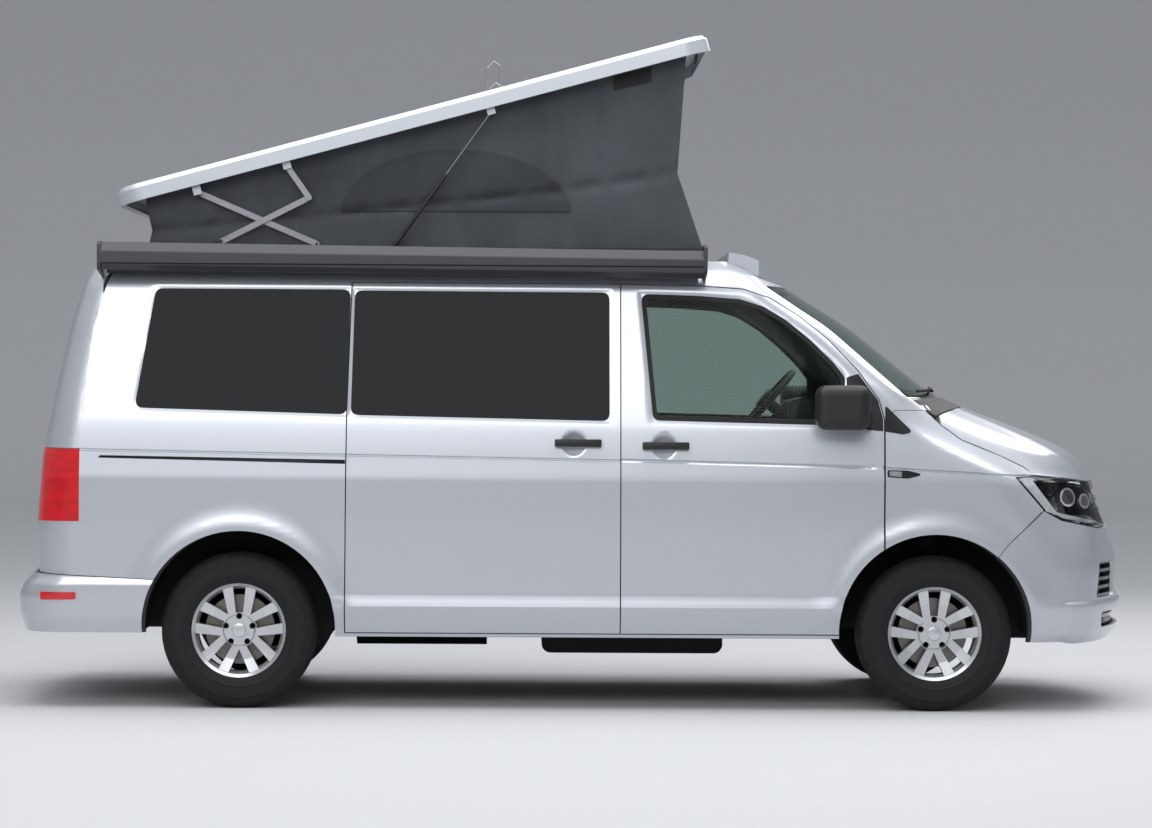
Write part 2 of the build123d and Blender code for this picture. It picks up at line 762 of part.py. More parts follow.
def under_roof(x):
    """Height of the underside of the raised shell at x."""
    return roof_rear[1] + (x - roof_rear[0]) * tan_open + under / math.cos(math.radians(roof_open_angle))


bellows_profile = [
    (-1880, bellows_base),
    (-1862, 2062),
    (-1900, under_roof(-1900)),
    (470, under_roof(470)),
    (432, 2330),
    (545, bellows_base),
]
bellows = full_width(bellows_profile, bellows_half)
inside = full_width(bellows_profile, bellows_half - bellows_wall, -bellows_wall)
inside += block((opening_rear, -opening_half, bellows_base - 1), (opening_front, opening_half, bellows_base + 20))
keep("roof_bellows", bellows - inside)

# Wheels
rim_profile = [
    (rim_radius, -rim_width / 2),
    (rim_radius, -rim_width / 2 + 8),
    (rim_radius - 14, -rim_width / 2 + 14),
    (rim_radius - 14, -rim_width / 2 + 40),
    (rim_radius - 26, -rim_width / 2 + 60),
    (rim_radius - 26, rim_width / 2 - 40),
    (rim_radius - 14, rim_width / 2 - 30),
    (rim_radius - 14, rim_width / 2 - 14),
    (rim_radius, rim_width / 2 - 8),
    (rim_radius, rim_width / 2),
    (rim_radius - 7, rim_width / 2),
    (rim_radius - 24, rim_width / 2 - 16),
    (rim_radius - 35, rim_width / 2 - 44),
    (rim_radius - 35, -rim_width / 2 + 60),
    (rim_radius - 22, -rim_width / 2 + 36),
    (rim_radius - 8, -rim_width / 2),
]
tyre_half = tyre_width / 2
tyre_profile = [
    (rim_radius - 13.5, -rim_width / 2 + 15),
    (rim_radius + 0.5, -rim_width / 2 + 8.5),
    (rim_radius + 0.5, -rim_width / 2 - 1),
    (235, -tyre_half + 8),
    (270, -tyre_half),
    (300, -tyre_half + 3),
    (322, -tyre_half + 15),
    (tyre_radius - 3, -tyre_half + 32),
    (tyre_radius, -tyre_half + 60),
]


# Spokes spread from the hub midway between bolts to the rim on either side of each bolt
spoke_root = (45, 36, 15)
spoke_tip = (200, 15, 23)


def spoke_plan(bolt_turn, lean):
    """Plan of a spoke beside a bolt, from (radius, degrees from the bolt, half width) at each end."""
    ends = []
    for radius, spread, _ in (spoke_root, spoke_tip):
        turn = math.radians(bolt_turn + lean * spread)
        ends.append((radius * math.cos(turn), radius * math.sin(turn)))
    span = math.dist(*ends)
    across = ((ends[0][1] - ends[1][1]) / span, (ends[1][0] - ends[0][0]) / span)
    corners = []
    for (x, y), half, signs in ((ends[0], spoke_root[2], (1, -1)), (ends[1], spoke_tip[2], (-1, 1))):
        corners += [(x + sign * half * across[0], y + sign * half * across[1]) for sign in signs]
    return make_face(Polyline(*corners, close=True))


def wheel_rim():
    """Alloy rim lying about Z, outer face up: a barrel and a pair of spokes for each bolt."""
    section = make_face(Plane.XZ * Polyline(*rim_profile, close=True))
    rim = revolve(section, Axis.Z)
    hub_depth = 50
    face_z = rim_width / 2 - 22
    hub = Pos(0, 0, face_z - hub_depth / 2) * Cylinder(76, hub_depth)
    hub = chamfer(hub.edges().sort_by(Axis.Z)[-1], 12)
    rim += hub
    spoke_profile = make_face(
        Plane.XZ
        * Polyline(
            (40, face_z - 8),
            (40, face_z - 48),
            (rim_radius - 34, face_z - 40),
            (rim_radius - 20, face_z - 2),
            (rim_radius - 26, face_z + 6),
            (130, face_z - 6),
            close=True,
        )
    )
    dish = revolve(spoke_profile, Axis.Z)
    for bolt in range(bolt_count):
        for lean in (-1, 1):
            bolt_turn = 90 + bolt * 360 / bolt_count
            spoke = Pos(0, 0, face_z - 60) * extrude(spoke_plan(bolt_turn, lean), amount=80)
            rim += dish & spoke
    for bolt in range(bolt_count):
        turn = math.radians(90 + bolt * 360 / bolt_count)
        rim -= Pos(bolt_circle / 2 * math.cos(turn), bolt_circle / 2 * math.sin(turn), face_z - 20) * Cylinder(13, 60)
    rim -= Pos(0, 0, face_z - hub_depth) * Cylinder(hub_bore / 2 + 1, 40)
    return rim


def wheel_tyre():
    """Road tyre lying about Z, hollow, its tread plain."""
    mirrored = [(radius, -z) for radius, z in reversed(tyre_profile)]
    outer = tyre_profile + mirrored
    inner_line = [(rim_radius - 13.5 + 12, rim_width / 2 - 24), (250, tyre_half - 14), (310, tyre_half - 24)]
    inner_line += [(radius, -z) for radius, z in reversed(inner_line)]
    section = make_face(Plane.XZ * Polyline(*outer, *inner_line, close=True))
    return revolve(section, Axis.Z)


rim_shape = wheel_rim()
tyre_shape = wheel_tyre()
for x, row in ((front_axle, "front"), (rear_axle, "rear")):
    for side, hand in ((-1, "right"), (1, "left")):
        place = Pos(x, side * wheel_y, tyre_radius) * Rot(-90 * side, 0, 0)
        keep("rim_%s_%s" % (row, hand), place * rim_shape)
        keep("tyre_%s_%s" % (row, hand), place * tyre_shape)

# Knuckles and rear hubs: a hub that the rim bolts to, with its carrier
hub_face = rim_width / 2 - 22 - 50
hub_radius = 70
kingpin_y = wheel_y - 100
strut_seat_y = 610
for side, hand in ((-1, "right"), (1, "left")):
    x = front_axle
    near = wheel_y + hub_face - 60
    knuckle = bar_across(x, tyre_radius, hub_radius, near, wheel_y + hub_face - seat_gap, side)
    knuckle += bar_across(x, tyre_radius, hub_bore / 2, wheel_y + hub_face - 20, wheel_y + hub_face + 18, side)
    knuckle += block(
        (x - 45, min(side * (kingpin_y - 25), side * near), tyre_radius - 110),
        (x + 45, max(side * (kingpin_y - 25), side * near), tyre_radius + 110),
    )
    low_y, high_y = sorted((side * (strut_seat_y - 30), side * near))
    knuckle += block((x - 30, low_y, tyre_radius + 85), (x + 30, high_y, tyre_radius + 110))
    keep("knuckle_" + hand, knuckle)

# Front suspension: subframe, lower arms and struts
arm_high = tyre_radius - 110 - seat_gap
subframe = block((front_axle - 220, -330, 235), (front_axle + 160, 330, rail_low - seat_gap))
subframe += block((front_axle + 60, -rail_far, 235), (front_axle + 150, rail_far, rail_low - seat_gap))
for side in (-1, 1):
    arm_face = side * 300
    lower_arm = make_face(
        Polyline(
            (front_axle - 180, arm_face),
            (front_axle - 20, side * (kingpin_y - 12)),
            (front_axle + 20, side * (kingpin_y - 12)),
            (front_axle + 120, arm_face),
            close=True,
        )
    )
    subframe += Pos(0, 0, arm_high - 24) * extrude(lower_arm, amount=24)
    low_y, high_y = sorted((side * 280, side * 320))
    subframe += block((front_axle - 180, low_y, arm_high - 24), (front_axle + 120, high_y, 240))
struts = []
strut_radius = 40
for side in (-1, 1):
    strut_top = arch_z + math.sqrt(arch_radius**2 - strut_radius**2) - seat_gap
    strut_low = tyre_radius + 110 + seat_gap
    strut = Cylinder(strut_radius, strut_top - strut_low)
    struts += (Pos(front_axle, side * strut_seat_y, (strut_low + strut_top) / 2) * strut).solids()
keep("front_suspension", Compound([*subframe.solids(), *struts]))

# Rear suspension: trailing arms, cross member and hubs
rear = block((rear_axle + 260, -610, 270), (rear_axle + 360, 610, 330))
for y in (-450, 450):
    rear += block((rear_axle + 280, y - 30, 320), (rear_axle + 340, y + 30, floor_top - 30 - seat_gap))
for side in (-1, 1):
    rear += block(
        (rear_axle - 60, min(side * 560, side * 610), 250), (rear_axle + 340, max(side * 560, side * 610), 330)
    )
    rear += bar_across(rear_axle, tyre_radius, 45, 560, 660, side)
    rear += bar_across(rear_axle, tyre_radius, hub_radius, 650, wheel_y + hub_face - seat_gap, side)
    rear += bar_across(rear_axle, tyre_radius, hub_bore / 2, wheel_y, wheel_y + hub_face + 18, side)
keep("rear_suspension", rear)

# Engine and gearbox, tank, exhaust
keep("engine_gearbox", block((front_axle - 60, -400, rail_low), (front_axle + 420, 380, 900)))
keep("fuel_tank", fillet(block((-150, -480, 215), (650, 100, floor_top - 30 - seat_gap)).edges().filter_by(Axis.Y), 40))
muffler = Pos(-700, 300, 290) * Rot(0, 90, 0) * Cylinder(95, 600)
pipe = Pos(300, 300, 290) * Rot(0, 90, 0) * Cylinder(28, 1700)
hangers = [
    Pos(x, 300, (290 + floor_top - 30 - seat_gap) / 2) * Box(24, 24, floor_top - 30 - seat_gap - 290)
    for x in (-900, -500, 900)
]
keep("exhaust", muffler + pipe + hangers)

# Dashboard, steering wheel and seats
dash_front = bulkhead_x - seat_gap
dash_profile = [
    (1020, 1010),
    (1000, 1130),
    (1030, 1215),
    (1120, 1255),
    (dash_front, 1265),
    (dash_front, 900),
    (1180, 860),
]
dash = full_width(dash_profile, 760)
hood_profile = [(985, 1230), (985, 1330), (1060, 1350), (1180, 1290), (1230, 1240)]
dash += Pos(0, 200, 0) * side_prism(hood_profile, 0, 0, 0, 400, 1)

wheel_centre = (900, 400, 1330)
steer_turn = 49
column_length = 60
shroud_length = 90
steer_place = Pos(*wheel_centre) * Rot(0, -steer_turn, 0) * Rot(0, 0, 90)
steer = Torus(178, 14)
steer += extrude(RectangleRounded(150, 90, 30), amount=30)
steer += Box(340, 40, 16)
steer += Pos(0, -90, 0) * Box(50, 150, 16)
steer += Pos(0, 0, -column_length / 2) * Cylinder(28, column_length)
shroud_top = -column_length - seat_gap
dash += steer_place * Pos(0, 0, shroud_top - shroud_length / 2) * Cylinder(48, shroud_length)
keep("dashboard", dash)
keep("steering_wheel", steer_place * steer)

seat_width = 500


def seat_at(x, y):
    cushion = block((x, y - seat_width / 2, 730), (x + 500, y + seat_width / 2, 860))
    cushion = fillet(cushion.edges().filter_by(Axis.Y), 40)
    plinth = block((x + 40, y - 180, floor_top), (x + 440, y + 180, 729.7))
    back = fillet(block((0, y - 240, 0), (110, y + 240, 600)).edges().filter_by(Axis.Y), 45)
    back = Pos(x - 60, 0, 810) * Rot(0, -12, 0) * back
    head = fillet(block((0, y - 130, 0), (90, y + 130, 170)).edges().filter_by(Axis.Y), 35)
    head = Pos(x - 181, 0, 1434) * Rot(0, -8, 0) * head
    for post_y in (y - 60, y + 60):
        head += Pos(x - 133, post_y, 1430) * Cylinder(7, 120)
    return cushion + plinth + back + head


keep("front_seats", both(seat_at(300, -430)))
bench = fillet(block((-1420, -560, 700), (-850, 420, 850)).edges().filter_by(Axis.Y), 40)
bench += block((-1380, -540, floor_top), (-900, 400, 701))
bench_back = fillet(block((0, -560, 0), (130, 420, 600)).edges().filter_by(Axis.Y), 45)
bench += Pos(-1470, 0, 790) * Rot(0, -14, 0) * bench_back
keep("rear_bench", bench)
kitchen = block((-850, 470, floor_top), (60, 820, 1180)) & cabin
keep("kitchen_unit", kitchen)

# Mirrors
for side, hand in ((-1, "right"), (1, "left")):
    low_y, high_y = sorted((side * 985, side * 1148))
    head = fillet(block((1010, low_y, 1215), (1240, high_y, 1405)).edges(), 45)
    neck_low, neck_high = sorted((side * 905, side * 1000))
    neck = block((1160, neck_low, 1225), (1260, neck_high, 1290))
    neck -= skin
    keep("mirror_" + hand, (head + neck))

os.makedirs("parts", exist_ok=True)
for name, shape in pieces.items():
    shape = shape if isinstance(shape, (Compound, Solid, Part)) else Compound(list(shape))
    shape.label = name
    export_step(shape, "parts/%s.step" % name)
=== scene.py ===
"""A camper van with its pop-up roof raised: finishes and modelled skins around the fixed frame."""

import math
from collections import namedtuple

import bmesh
import bpy
import numpy as np
from mathutils import Matrix, Vector


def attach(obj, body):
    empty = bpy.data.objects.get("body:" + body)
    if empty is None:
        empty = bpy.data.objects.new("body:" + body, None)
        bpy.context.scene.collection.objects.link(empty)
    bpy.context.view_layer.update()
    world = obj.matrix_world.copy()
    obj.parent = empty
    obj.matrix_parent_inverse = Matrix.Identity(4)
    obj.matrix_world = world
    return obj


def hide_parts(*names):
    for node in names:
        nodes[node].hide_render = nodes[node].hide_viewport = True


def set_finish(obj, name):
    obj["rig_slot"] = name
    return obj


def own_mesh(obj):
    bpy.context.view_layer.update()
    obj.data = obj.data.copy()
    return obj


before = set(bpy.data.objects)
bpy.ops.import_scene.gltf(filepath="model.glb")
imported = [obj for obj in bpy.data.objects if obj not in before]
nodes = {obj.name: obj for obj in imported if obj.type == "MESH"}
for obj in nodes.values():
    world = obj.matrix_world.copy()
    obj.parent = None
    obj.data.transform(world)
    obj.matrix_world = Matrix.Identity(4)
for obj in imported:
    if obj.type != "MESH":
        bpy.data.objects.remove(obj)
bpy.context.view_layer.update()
scene = bpy.context.scene

# Lengths below are millimetres, and every mesh is scaled to metres when it becomes a piece.
MM = 0.001
FRONT_AXLE = 1544
REAR_AXLE = -1456
HALF_WIDTH = 952
WHEEL_Y = 814
WHEEL_Z = 335
ARCH_Z = 352
ARCH_RADIUS = 415
PANEL_GAP = 5
SKIN = 14
CORE_INSET = 15
RIGHT = -1
LEFT = 1


# Nodes and materials
def linear(code):
    """Linear colour from an sRGB hex code."""
    channels = [int(code[i : i + 2], 16) / 255 for i in (1, 3, 5)]
    return [c / 12.92 if c <= 0.04045 else ((c + 0.055) / 1.055) ** 2.4 for c in channels] + [1.0]


def add_node(tree, kind, inputs=None, **settings):
    """Adds a node, sets its fields and feeds its inputs with values or with other nodes' sockets."""
    node = tree.nodes.new(kind)
    for name, value in settings.items():
        setattr(node, name, value)
    for key, value in (inputs or {}).items():
        if isinstance(value, bpy.types.NodeSocket):
            tree.links.new(value, node.inputs[key])
        else:
            node.inputs[key].default_value = value
    return node


def finish_of(name, **values):
    """A material with a Principled shader whose sockets are set by name."""
    material = bpy.data.materials.new(name)
    material.use_nodes = True
    tree = material.node_tree
    shader = tree.nodes["Principled BSDF"]
    for key, value in values.items():
        socket = shader.inputs[key.replace("_", " ")]
        socket.default_value = linear(value) if isinstance(value, str) else value
    return material, tree, shader


def object_points(tree, scale=(1, 1, 1)):
    """Object coordinates, scaled."""
    coords = add_node(tree, "ShaderNodeTexCoord")
    mapping = add_node(tree, "ShaderNodeMapping", {"Vector": coords.outputs["Object"], "Scale": scale})
    return mapping.outputs["Vector"]


def grain(tree, shader, size_mm, height_mm, tones=None, detail=3.0, stretch=(1, 1, 1)):
    """Noise of a real size in millimetres as bump, and as two tones where they are given."""
    points = object_points(tree, stretch)
    pattern = add_node(
        tree, "ShaderNodeTexNoise", {"Vector": points, "Scale": 1 / (size_mm * MM), "Detail": detail}
    )
    if height_mm:
        inputs = {"Height": pattern.outputs["Fac"], "Distance": height_mm * MM, "Strength": 1.0}
        bump = add_node(tree, "ShaderNodeBump", inputs)
        tree.links.new(bump.outputs["Normal"], shader.inputs["Normal"])
    if tones:
        ramp = add_node(tree, "ShaderNodeValToRGB", {"Fac": pattern.outputs["Fac"]})
        ramp.color_ramp.elements[0].position = 0.35
        ramp.color_ramp.elements[1].position = 0.65
        ramp.color_ramp.elements[0].color = linear(tones[0])
        ramp.color_ramp.elements[1].color = linear(tones[1])
        tree.links.new(ramp.outputs["Color"], shader.inputs["Base Color"])


def metallic_paint():
    # Silver base coat with fine aluminium flake under a clear lacquer: bright where it faces up
    material, tree, shader = finish_of(
        "metallic_silver_paint", Metallic=0.62, Roughness=0.34, Coat_Weight=0.9, Coat_Roughness=0.06
    )
    grain(tree, shader, 1.2, 0.0, ("#b9bdc4", "#c3c7ce"), detail=1.0)
    return material


def roof_paint():
    # The raised roof's moulding is sprayed in the same silver, a touch lighter
    material, tree, shader = finish_of(
        "roof_silver_paint", Metallic=0.35, Roughness=0.4, Coat_Weight=0.6, Coat_Roughness=0.1
    )
    grain(tree, shader, 1.4, 0.0, ("#b4b9c0", "#bec2c9"), detail=1.0)
    return material


def moulded_black():
    # Grained polypropylene trim: soft sheen, fine leathery texture
    material, tree, shader = finish_of("moulded_black_plastic", Roughness=0.48, Specular_IOR_Level=0.45)
    grain(tree, shader, 1.6, 0.12, ("#17181a", "#1d1e20"))
    return material


def gloss_black():
    # Piano black ABS of the grilles and pillar trims
    material, tree, shader = finish_of("gloss_black_plastic", Roughness=0.14, Coat_Weight=0.4)
    grain(tree, shader, 30, 0.0, ("#0b0c0d", "#101113"))
    return material


def rubber_seal():
    # Matt rubber of the door and glass seals
    material, tree, shader = finish_of("black_rubber", Roughness=0.7)
    grain(tree, shader, 3, 0.05, ("#0c0c0d", "#121213"))
    return material


def tyre_rubber():
    # Tyre compound, dusty matt black with fine moulding texture
    material, tree, shader = finish_of("tyre_rubber", Roughness=0.72, Specular_IOR_Level=0.35)
    grain(tree, shader, 5, 0.25, ("#131314", "#1c1c1d"), detail=5.0)
    return material


def underbody_coat():
    # Black stone-chip coating on the floor, liners and axles
    material, tree, shader = finish_of("underbody_coating", Roughness=0.85)
    grain(tree, shader, 4, 0.5, ("#0a0a0b", "#131313"), detail=4.0)
    return material


def wheel_alloy():
    # Cast aluminium wheel under silver lacquer
    material, tree, shader = finish_of("lacquered_cast_alloy", Metallic=0.75, Roughness=0.3, Coat_Weight=0.5)
    grain(tree, shader, 2.5, 0.03, ("#c9cbce", "#d3d5d8"), detail=2.0)
    return material


def turned_steel():
    # Brake disc face, turned bright with fine rings
    material, tree, shader = finish_of("turned_brake_steel", Metallic=1.0, Roughness=0.38)
    grain(tree, shader, 3, 0.02, ("#6d6a66", "#8a8784"), detail=4.0, stretch=(1, 0.05, 1))
    return material


def arm_metal():
    # Extruded aluminium roof arms, satin anodised
    material, tree, shader = finish_of("satin_anodised_aluminium", Metallic=0.8, Roughness=0.42)
    grain(tree, shader, 2, 0.01, ("#85868a", "#94959a"), stretch=(0.1, 1, 1))
    return material


def privacy_glass():
    # Dark tinted rear glass: almost black, clean reflections
    material, tree, shader = finish_of(
        "privacy_glass", Base_Color="#0e1013", Roughness=0.06, IOR=1.45, Specular_IOR_Level=0.1
    )
    return material


def clear_glass():
    # Lightly green laminated and toughened glass
    material, tree, shader = finish_of(
        "green_tinted_glass", Base_Color="#cfe0d9", Roughness=0.0, IOR=1.12, Transmission_Weight=1.0,
        Specular_IOR_Level=0.8,
    )
    return material


def lamp_cover():
    # Clear polycarbonate lamp cover
    material, tree, shader = finish_of(
        "clear_polycarbonate", Base_Color="#f2f5f7", Roughness=0.02, IOR=1.1, Transmission_Weight=1.0
    )
    return material


def chrome():
    # Vacuum-metallised reflector
    material, tree, shader = finish_of("metallised_reflector", Metallic=1.0, Roughness=0.12)
    grain(tree, shader, 25, 0.0, ("#cfd3d8", "#e2e5e9"))
    return material


def red_lens():
    # Red acrylic lamp lens in two reds that change in random tall patches, the darker as painted shade of the bulb
    # chambers, with a faint painted glow
    material, tree, shader = finish_of(
        "red_acrylic", Roughness=0.08, Coat_Weight=0.6, Emission_Color="#ff1a22", Emission_Strength=0.12
    )
    grain(tree, shader, 60, 0.0, ("#a50d17", "#b81019"), detail=0.5, stretch=(1, 1, 2.2))
    return material


def awning_coat():
    # Anthracite powder coat on the awning case
    material, tree, shader = finish_of("anthracite_powder_coat", Metallic=0.25, Roughness=0.42)
    grain(tree, shader, 1.2, 0.06, ("#36383d", "#3c3e43"))
    return material


def interior_trim():
    # Grained dark trim panels of the cab, also put on the panels' cores as painted shade in the panel gaps
    material, tree, shader = finish_of("grained_interior_trim", Roughness=0.65)
    grain(tree, shader, 2, 0.15, ("#2b2d30", "#34363a"))
    return material


# A wave texture's wavelength at scale 1
WAVE_LENGTH = 0.314


def woven(name, tones, thread_mm, bump_mm=0.15):
    # Plain weave: two crossed sets of threads, drawn coarser than real so that they show
    material, tree, shader = finish_of(name, Roughness=0.85, Sheen_Weight=0.3, Specular_IOR_Level=0.25)
    points = object_points(tree)
    threads = {"Vector": points, "Scale": WAVE_LENGTH / (thread_mm * MM) / 2, "Distortion": 0.6}
    waves = [
        add_node(tree, "ShaderNodeTexWave", threads, bands_direction=direction).outputs["Fac"]
        for direction in ("X", "Z")
    ]
    weave = add_node(tree, "ShaderNodeMath", {0: waves[0], 1: waves[1]}, operation="MULTIPLY")
    bump = add_node(
        tree, "ShaderNodeBump", {"Height": weave.outputs["Value"], "Distance": bump_mm * MM, "Strength": 0.6}
    )
    tree.links.new(bump.outputs["Normal"], shader.inputs["Normal"])
    blotches = add_node(tree, "ShaderNodeTexNoise", {"Vector": points, "Scale": 3.0, "Detail": 4.0})
    ramp = add_node(tree, "ShaderNodeValToRGB", {"Fac": blotches.outputs["Fac"]})
    ramp.color_ramp.elements[0].position = 0.35
    ramp.color_ramp.elements[1].position = 0.65
    ramp.color_ramp.elements[0].color = linear(tones[0])
    ramp.color_ramp.elements[1].color = linear(tones[1])
    tree.links.new(ramp.outputs["Color"], shader.inputs["Base Color"])
    return material


def laminate():
    # Light grey furniture laminate with a faint grain
    material, tree, shader = finish_of("light_grey_laminate", Roughness=0.5)
    grain(tree, shader, 8, 0.0, ("#b9b8b4", "#c4c3bf"), stretch=(0.1, 1, 1))
    return material


PAINT = metallic_paint()
ROOF_PAINT = roof_paint()
BLACK = moulded_black()
GLOSS_BLACK = gloss_black()
SEAL = rubber_seal()
TYRE = tyre_rubber()
UNDERBODY = underbody_coat()
ALLOY = wheel_alloy()
DISC = turned_steel()
ARM = arm_metal()
PRIVACY = privacy_glass()
CLEAR = clear_glass()
COVER = lamp_cover()
CHROME = chrome()
RED = red_lens()
AWNING = awning_coat()
TRIM_AND_GAP_SHADE = interior_trim()
BELLOWS = woven("coated_bellows_cloth", ("#3f4246", "#4a4d52"), 1.6)
MESH_NET = woven("window_netting", ("#35383c", "#3d4044"), 2.4, bump_mm=0.4)
SEAT_CLOTH = woven("seat_cloth", ("#2a2b2e", "#35363a"), 1.8)
LAMINATE = laminate()


# Making pieces
def shade(mesh, angle=35.0):
    """Smooth shading with creases sharper than an angle."""
    mesh.polygons.foreach_set("use_smooth", [True] * len(mesh.polygons))
    mesh.set_sharp_from_angle(angle=math.radians(angle))


def settle(mesh, name, body, material, slot=None, angle=35.0):
    """Makes a mesh in millimetres a piece in metres that rides on a body."""
    mesh.transform(Matrix.Scale(MM, 4))
    mesh.materials.clear()
    mesh.materials.append(material)
    shade(mesh, angle)
    piece = bpy.data.objects.new(name, mesh)
    scene.collection.objects.link(piece)
    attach(piece, body)
    if slot:
        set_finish(piece, slot)
    return piece


def piece_from(bm, name, body, material, slot=None, angle=35.0, bevel=0.0):
    """Closes a bmesh in millimetres as a piece, with its edges eased where asked."""
    if bevel:
        sharp = [e for e in bm.edges if e.is_manifold and e.calc_face_angle(0) > math.radians(30)]
        bmesh.ops.bevel(bm, geom=sharp, offset=bevel, segments=2, profile=0.5, affect="EDGES", material=-1)
    mesh = bpy.data.meshes.new(name)
    bm.to_mesh(mesh)
    bm.free()
    return settle(mesh, name, body, material, slot, angle)


def cube(bm, low, high):
    """Adds a box between two corners to a bmesh and returns its vertices."""
    size = Vector(high) - Vector(low)
    middle = (Vector(high) + Vector(low)) / 2
    matrix = Matrix.Translation(middle) @ Matrix.Diagonal((*size, 1))
    return bmesh.ops.create_cube(bm, size=1.0, matrix=matrix)["verts"]


def round_corners(points, radius, steps=5):
    """An outline with its corners rounded by arcs."""
    rounded = []
    count = len(points)
    for i, corner in enumerate(points):
        here = Vector(corner)
        back = (Vector(points[i - 1]) - here)
        ahead = (Vector(points[(i + 1) % count]) - here)
        half_turn = back.angle(ahead) / 2
        reach = min(radius / math.tan(half_turn), back.length * 0.45, ahead.length * 0.45)
        if math.degrees(half_turn) > 86 or radius <= 0:
            rounded.append(here)
            continue
        start = here + back.normalized() * reach
        end = here + ahead.normalized() * reach
        for k in range(steps + 1):
            t = k / steps
            rounded.append((1 - t) ** 2 * start + 2 * t * (1 - t) * here + t**2 * end)
    return rounded


def prism(bm, points, low, high, axis="Y", radius=0.0):
    """Adds a closed prism from an outline: (x, z) across the van, (y, z) along it, or (x, y) upwards."""
    outline = round_corners(points, radius) if radius else [Vector(p) for p in points]

    def place(point, along):
        if axis == "Y":
            return (point[0], along, point[1])
        if axis == "X":
            return (along, point[0], point[1])
        return (point[0], point[1], along)

    face = bm.faces.new([bm.verts.new(place(p, low)) for p in outline])
    step = Vector(place((0, 0), high - low))
    lifted = bmesh.ops.extrude_face_region(bm, geom=[face])
    verts = [v for v in lifted["geom"] if isinstance(v, bmesh.types.BMVert)]
    bmesh.ops.translate(bm, verts=verts, vec=step)
    bmesh.ops.recalc_face_normals(bm, faces=bm.faces[:])
    return verts


def rod(bm, start, end, radius, segments=16, far_radius=None):
    """Adds a round bar between two points."""
    start = Vector(start)
    end = Vector(end)
    turn = (end - start).to_track_quat("Z", "Y").to_matrix().to_4x4()
    matrix = Matrix.Translation((start + end) / 2) @ turn
    far = radius if far_radius is None else far_radius
    bmesh.ops.create_cone(
        bm, cap_ends=True, segments=segments, radius1=radius, radius2=far, depth=(end - start).length,
        matrix=matrix,
    )


def turned(bm, profile, segments):
    """Adds a ring turned about Y from a closed profile of (radius, y)."""
    verts = [bm.verts.new((r, y, 0)) for r, y in profile]
    edges = [bm.edges.new(pair) for pair in zip(verts, verts[1:] + verts[:1])]
    bmesh.ops.spin(
        bm, geom=verts + edges, cent=(0, 0, 0), axis=(0, 1, 0), angle=2 * math.pi, steps=segments,
        use_merge=True,
    )
    bmesh.ops.remove_doubles(bm, verts=bm.verts[:], dist=0.01)
    bmesh.ops.recalc_face_normals(bm, faces=bm.faces[:])


def mirrored(piece, name, body):
    """The same piece on the other side of the van."""
    mesh = piece.data.copy()
    mesh.transform(Matrix.Scale(-1, 4, (0, 1, 0)))
    mesh.flip_normals()
    twin = bpy.data.objects.new(name, mesh)
    scene.collection.objects.link(twin)
    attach(twin, body)
    if "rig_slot" in piece:
        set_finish(twin, piece["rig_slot"])
    return twin


# The body's form: how far each height tucks in from the widest, and where the tail and nose reach
Section = namedtuple("Section", "height tuck tail tail_corner tail_radius nose nose_corner nose_radius")
BODY = [
    Section(310, 59, 874, 834, 150, 756, 506, 300),
    Section(455, 5, 889, 849, 170, 776, 516, 300),
    Section(500, 16, 894, 854, 170, 786, 521, 300),
    Section(800, 2, 920, 864, 180, 856, 596, 380),
    Section(990, 0, 907, 850, 180, 806, 416, 400),
    Section(1075, 9, 901, 844, 180, 753, 163, 300),
    Section(1140, 15, 890, 834, 180, 662, -36, 250),
    Section(1250, 28, 869, 812, 170, 387, -172, 200),
    Section(1345, 44, 852, 794, 160, 96, -178, 120),
    Section(1660, 96, 784, 729, 140, -300, -527, 120),
    Section(1830, 130, 734, 679, 120, -574, -774, 120),
    Section(1880, 167, 714, 654, 100, -664, -800, 110),
    Section(1920, 232, 684, 624, 90, -754, -850, 100),
    Section(1945, 297, 634, 584, 80, -844, -904, 80),
]
FRONT_BUMPER = [
    Section(300, 47, 0, 0, 80, 856, 556, 300),
    Section(345, 27, 0, 0, 80, 896, 596, 300),
    Section(455, 3, 0, 0, 80, 908, 606, 320),
    Section(640, 1, 0, 0, 80, 908, 616, 340),
    Section(727, 0, 0, 0, 80, 876, 606, 360),
    Section(800, 1, 0, 0, 80, 858, 597, 380),
    Section(880, 1, 0, 0, 80, 838, 540, 390),
]
REAR_BUMPER = [
    Section(325, 40, 962, 900, 200, 0, 0, 80),
    Section(400, 14, 992, 930, 210, 0, 0, 80),
    Section(490, 4, 996, 930, 210, 0, 0, 80),
    Section(552, 2, 966, 905, 200, 0, 0, 80),
    Section(580, 2, 934, 880, 190, 0, 0, 80),
]
# Over how many millimetres each height's change of slope is rounded off
CREASE_HEIGHTS = [300, 440, 515, 700, 800, 930, 980, 1000, 1060, 1200, 1350, 1800, 1945]
CREASE_ROUNDING = [12, 7, 7, 60, 80, 60, 14, 14, 30, 60, 70, 30, 8]
# Below SILL_TOP the form is read a little higher up: the sill's slope times its length
SILL_TOP = 600
SILL_LIFT = 0.0081 * 998


def section_at(table, height):
    """The section at a height, with each crease rounded."""
    r = np.interp(height, CREASE_HEIGHTS, CREASE_ROUNDING)
    spots = height + np.linspace(-r, r, 9)
    heights = [row.height for row in table]
    return [float(np.interp(spots, heights, [row[i] for row in table]).mean()) for i in range(1, 8)]


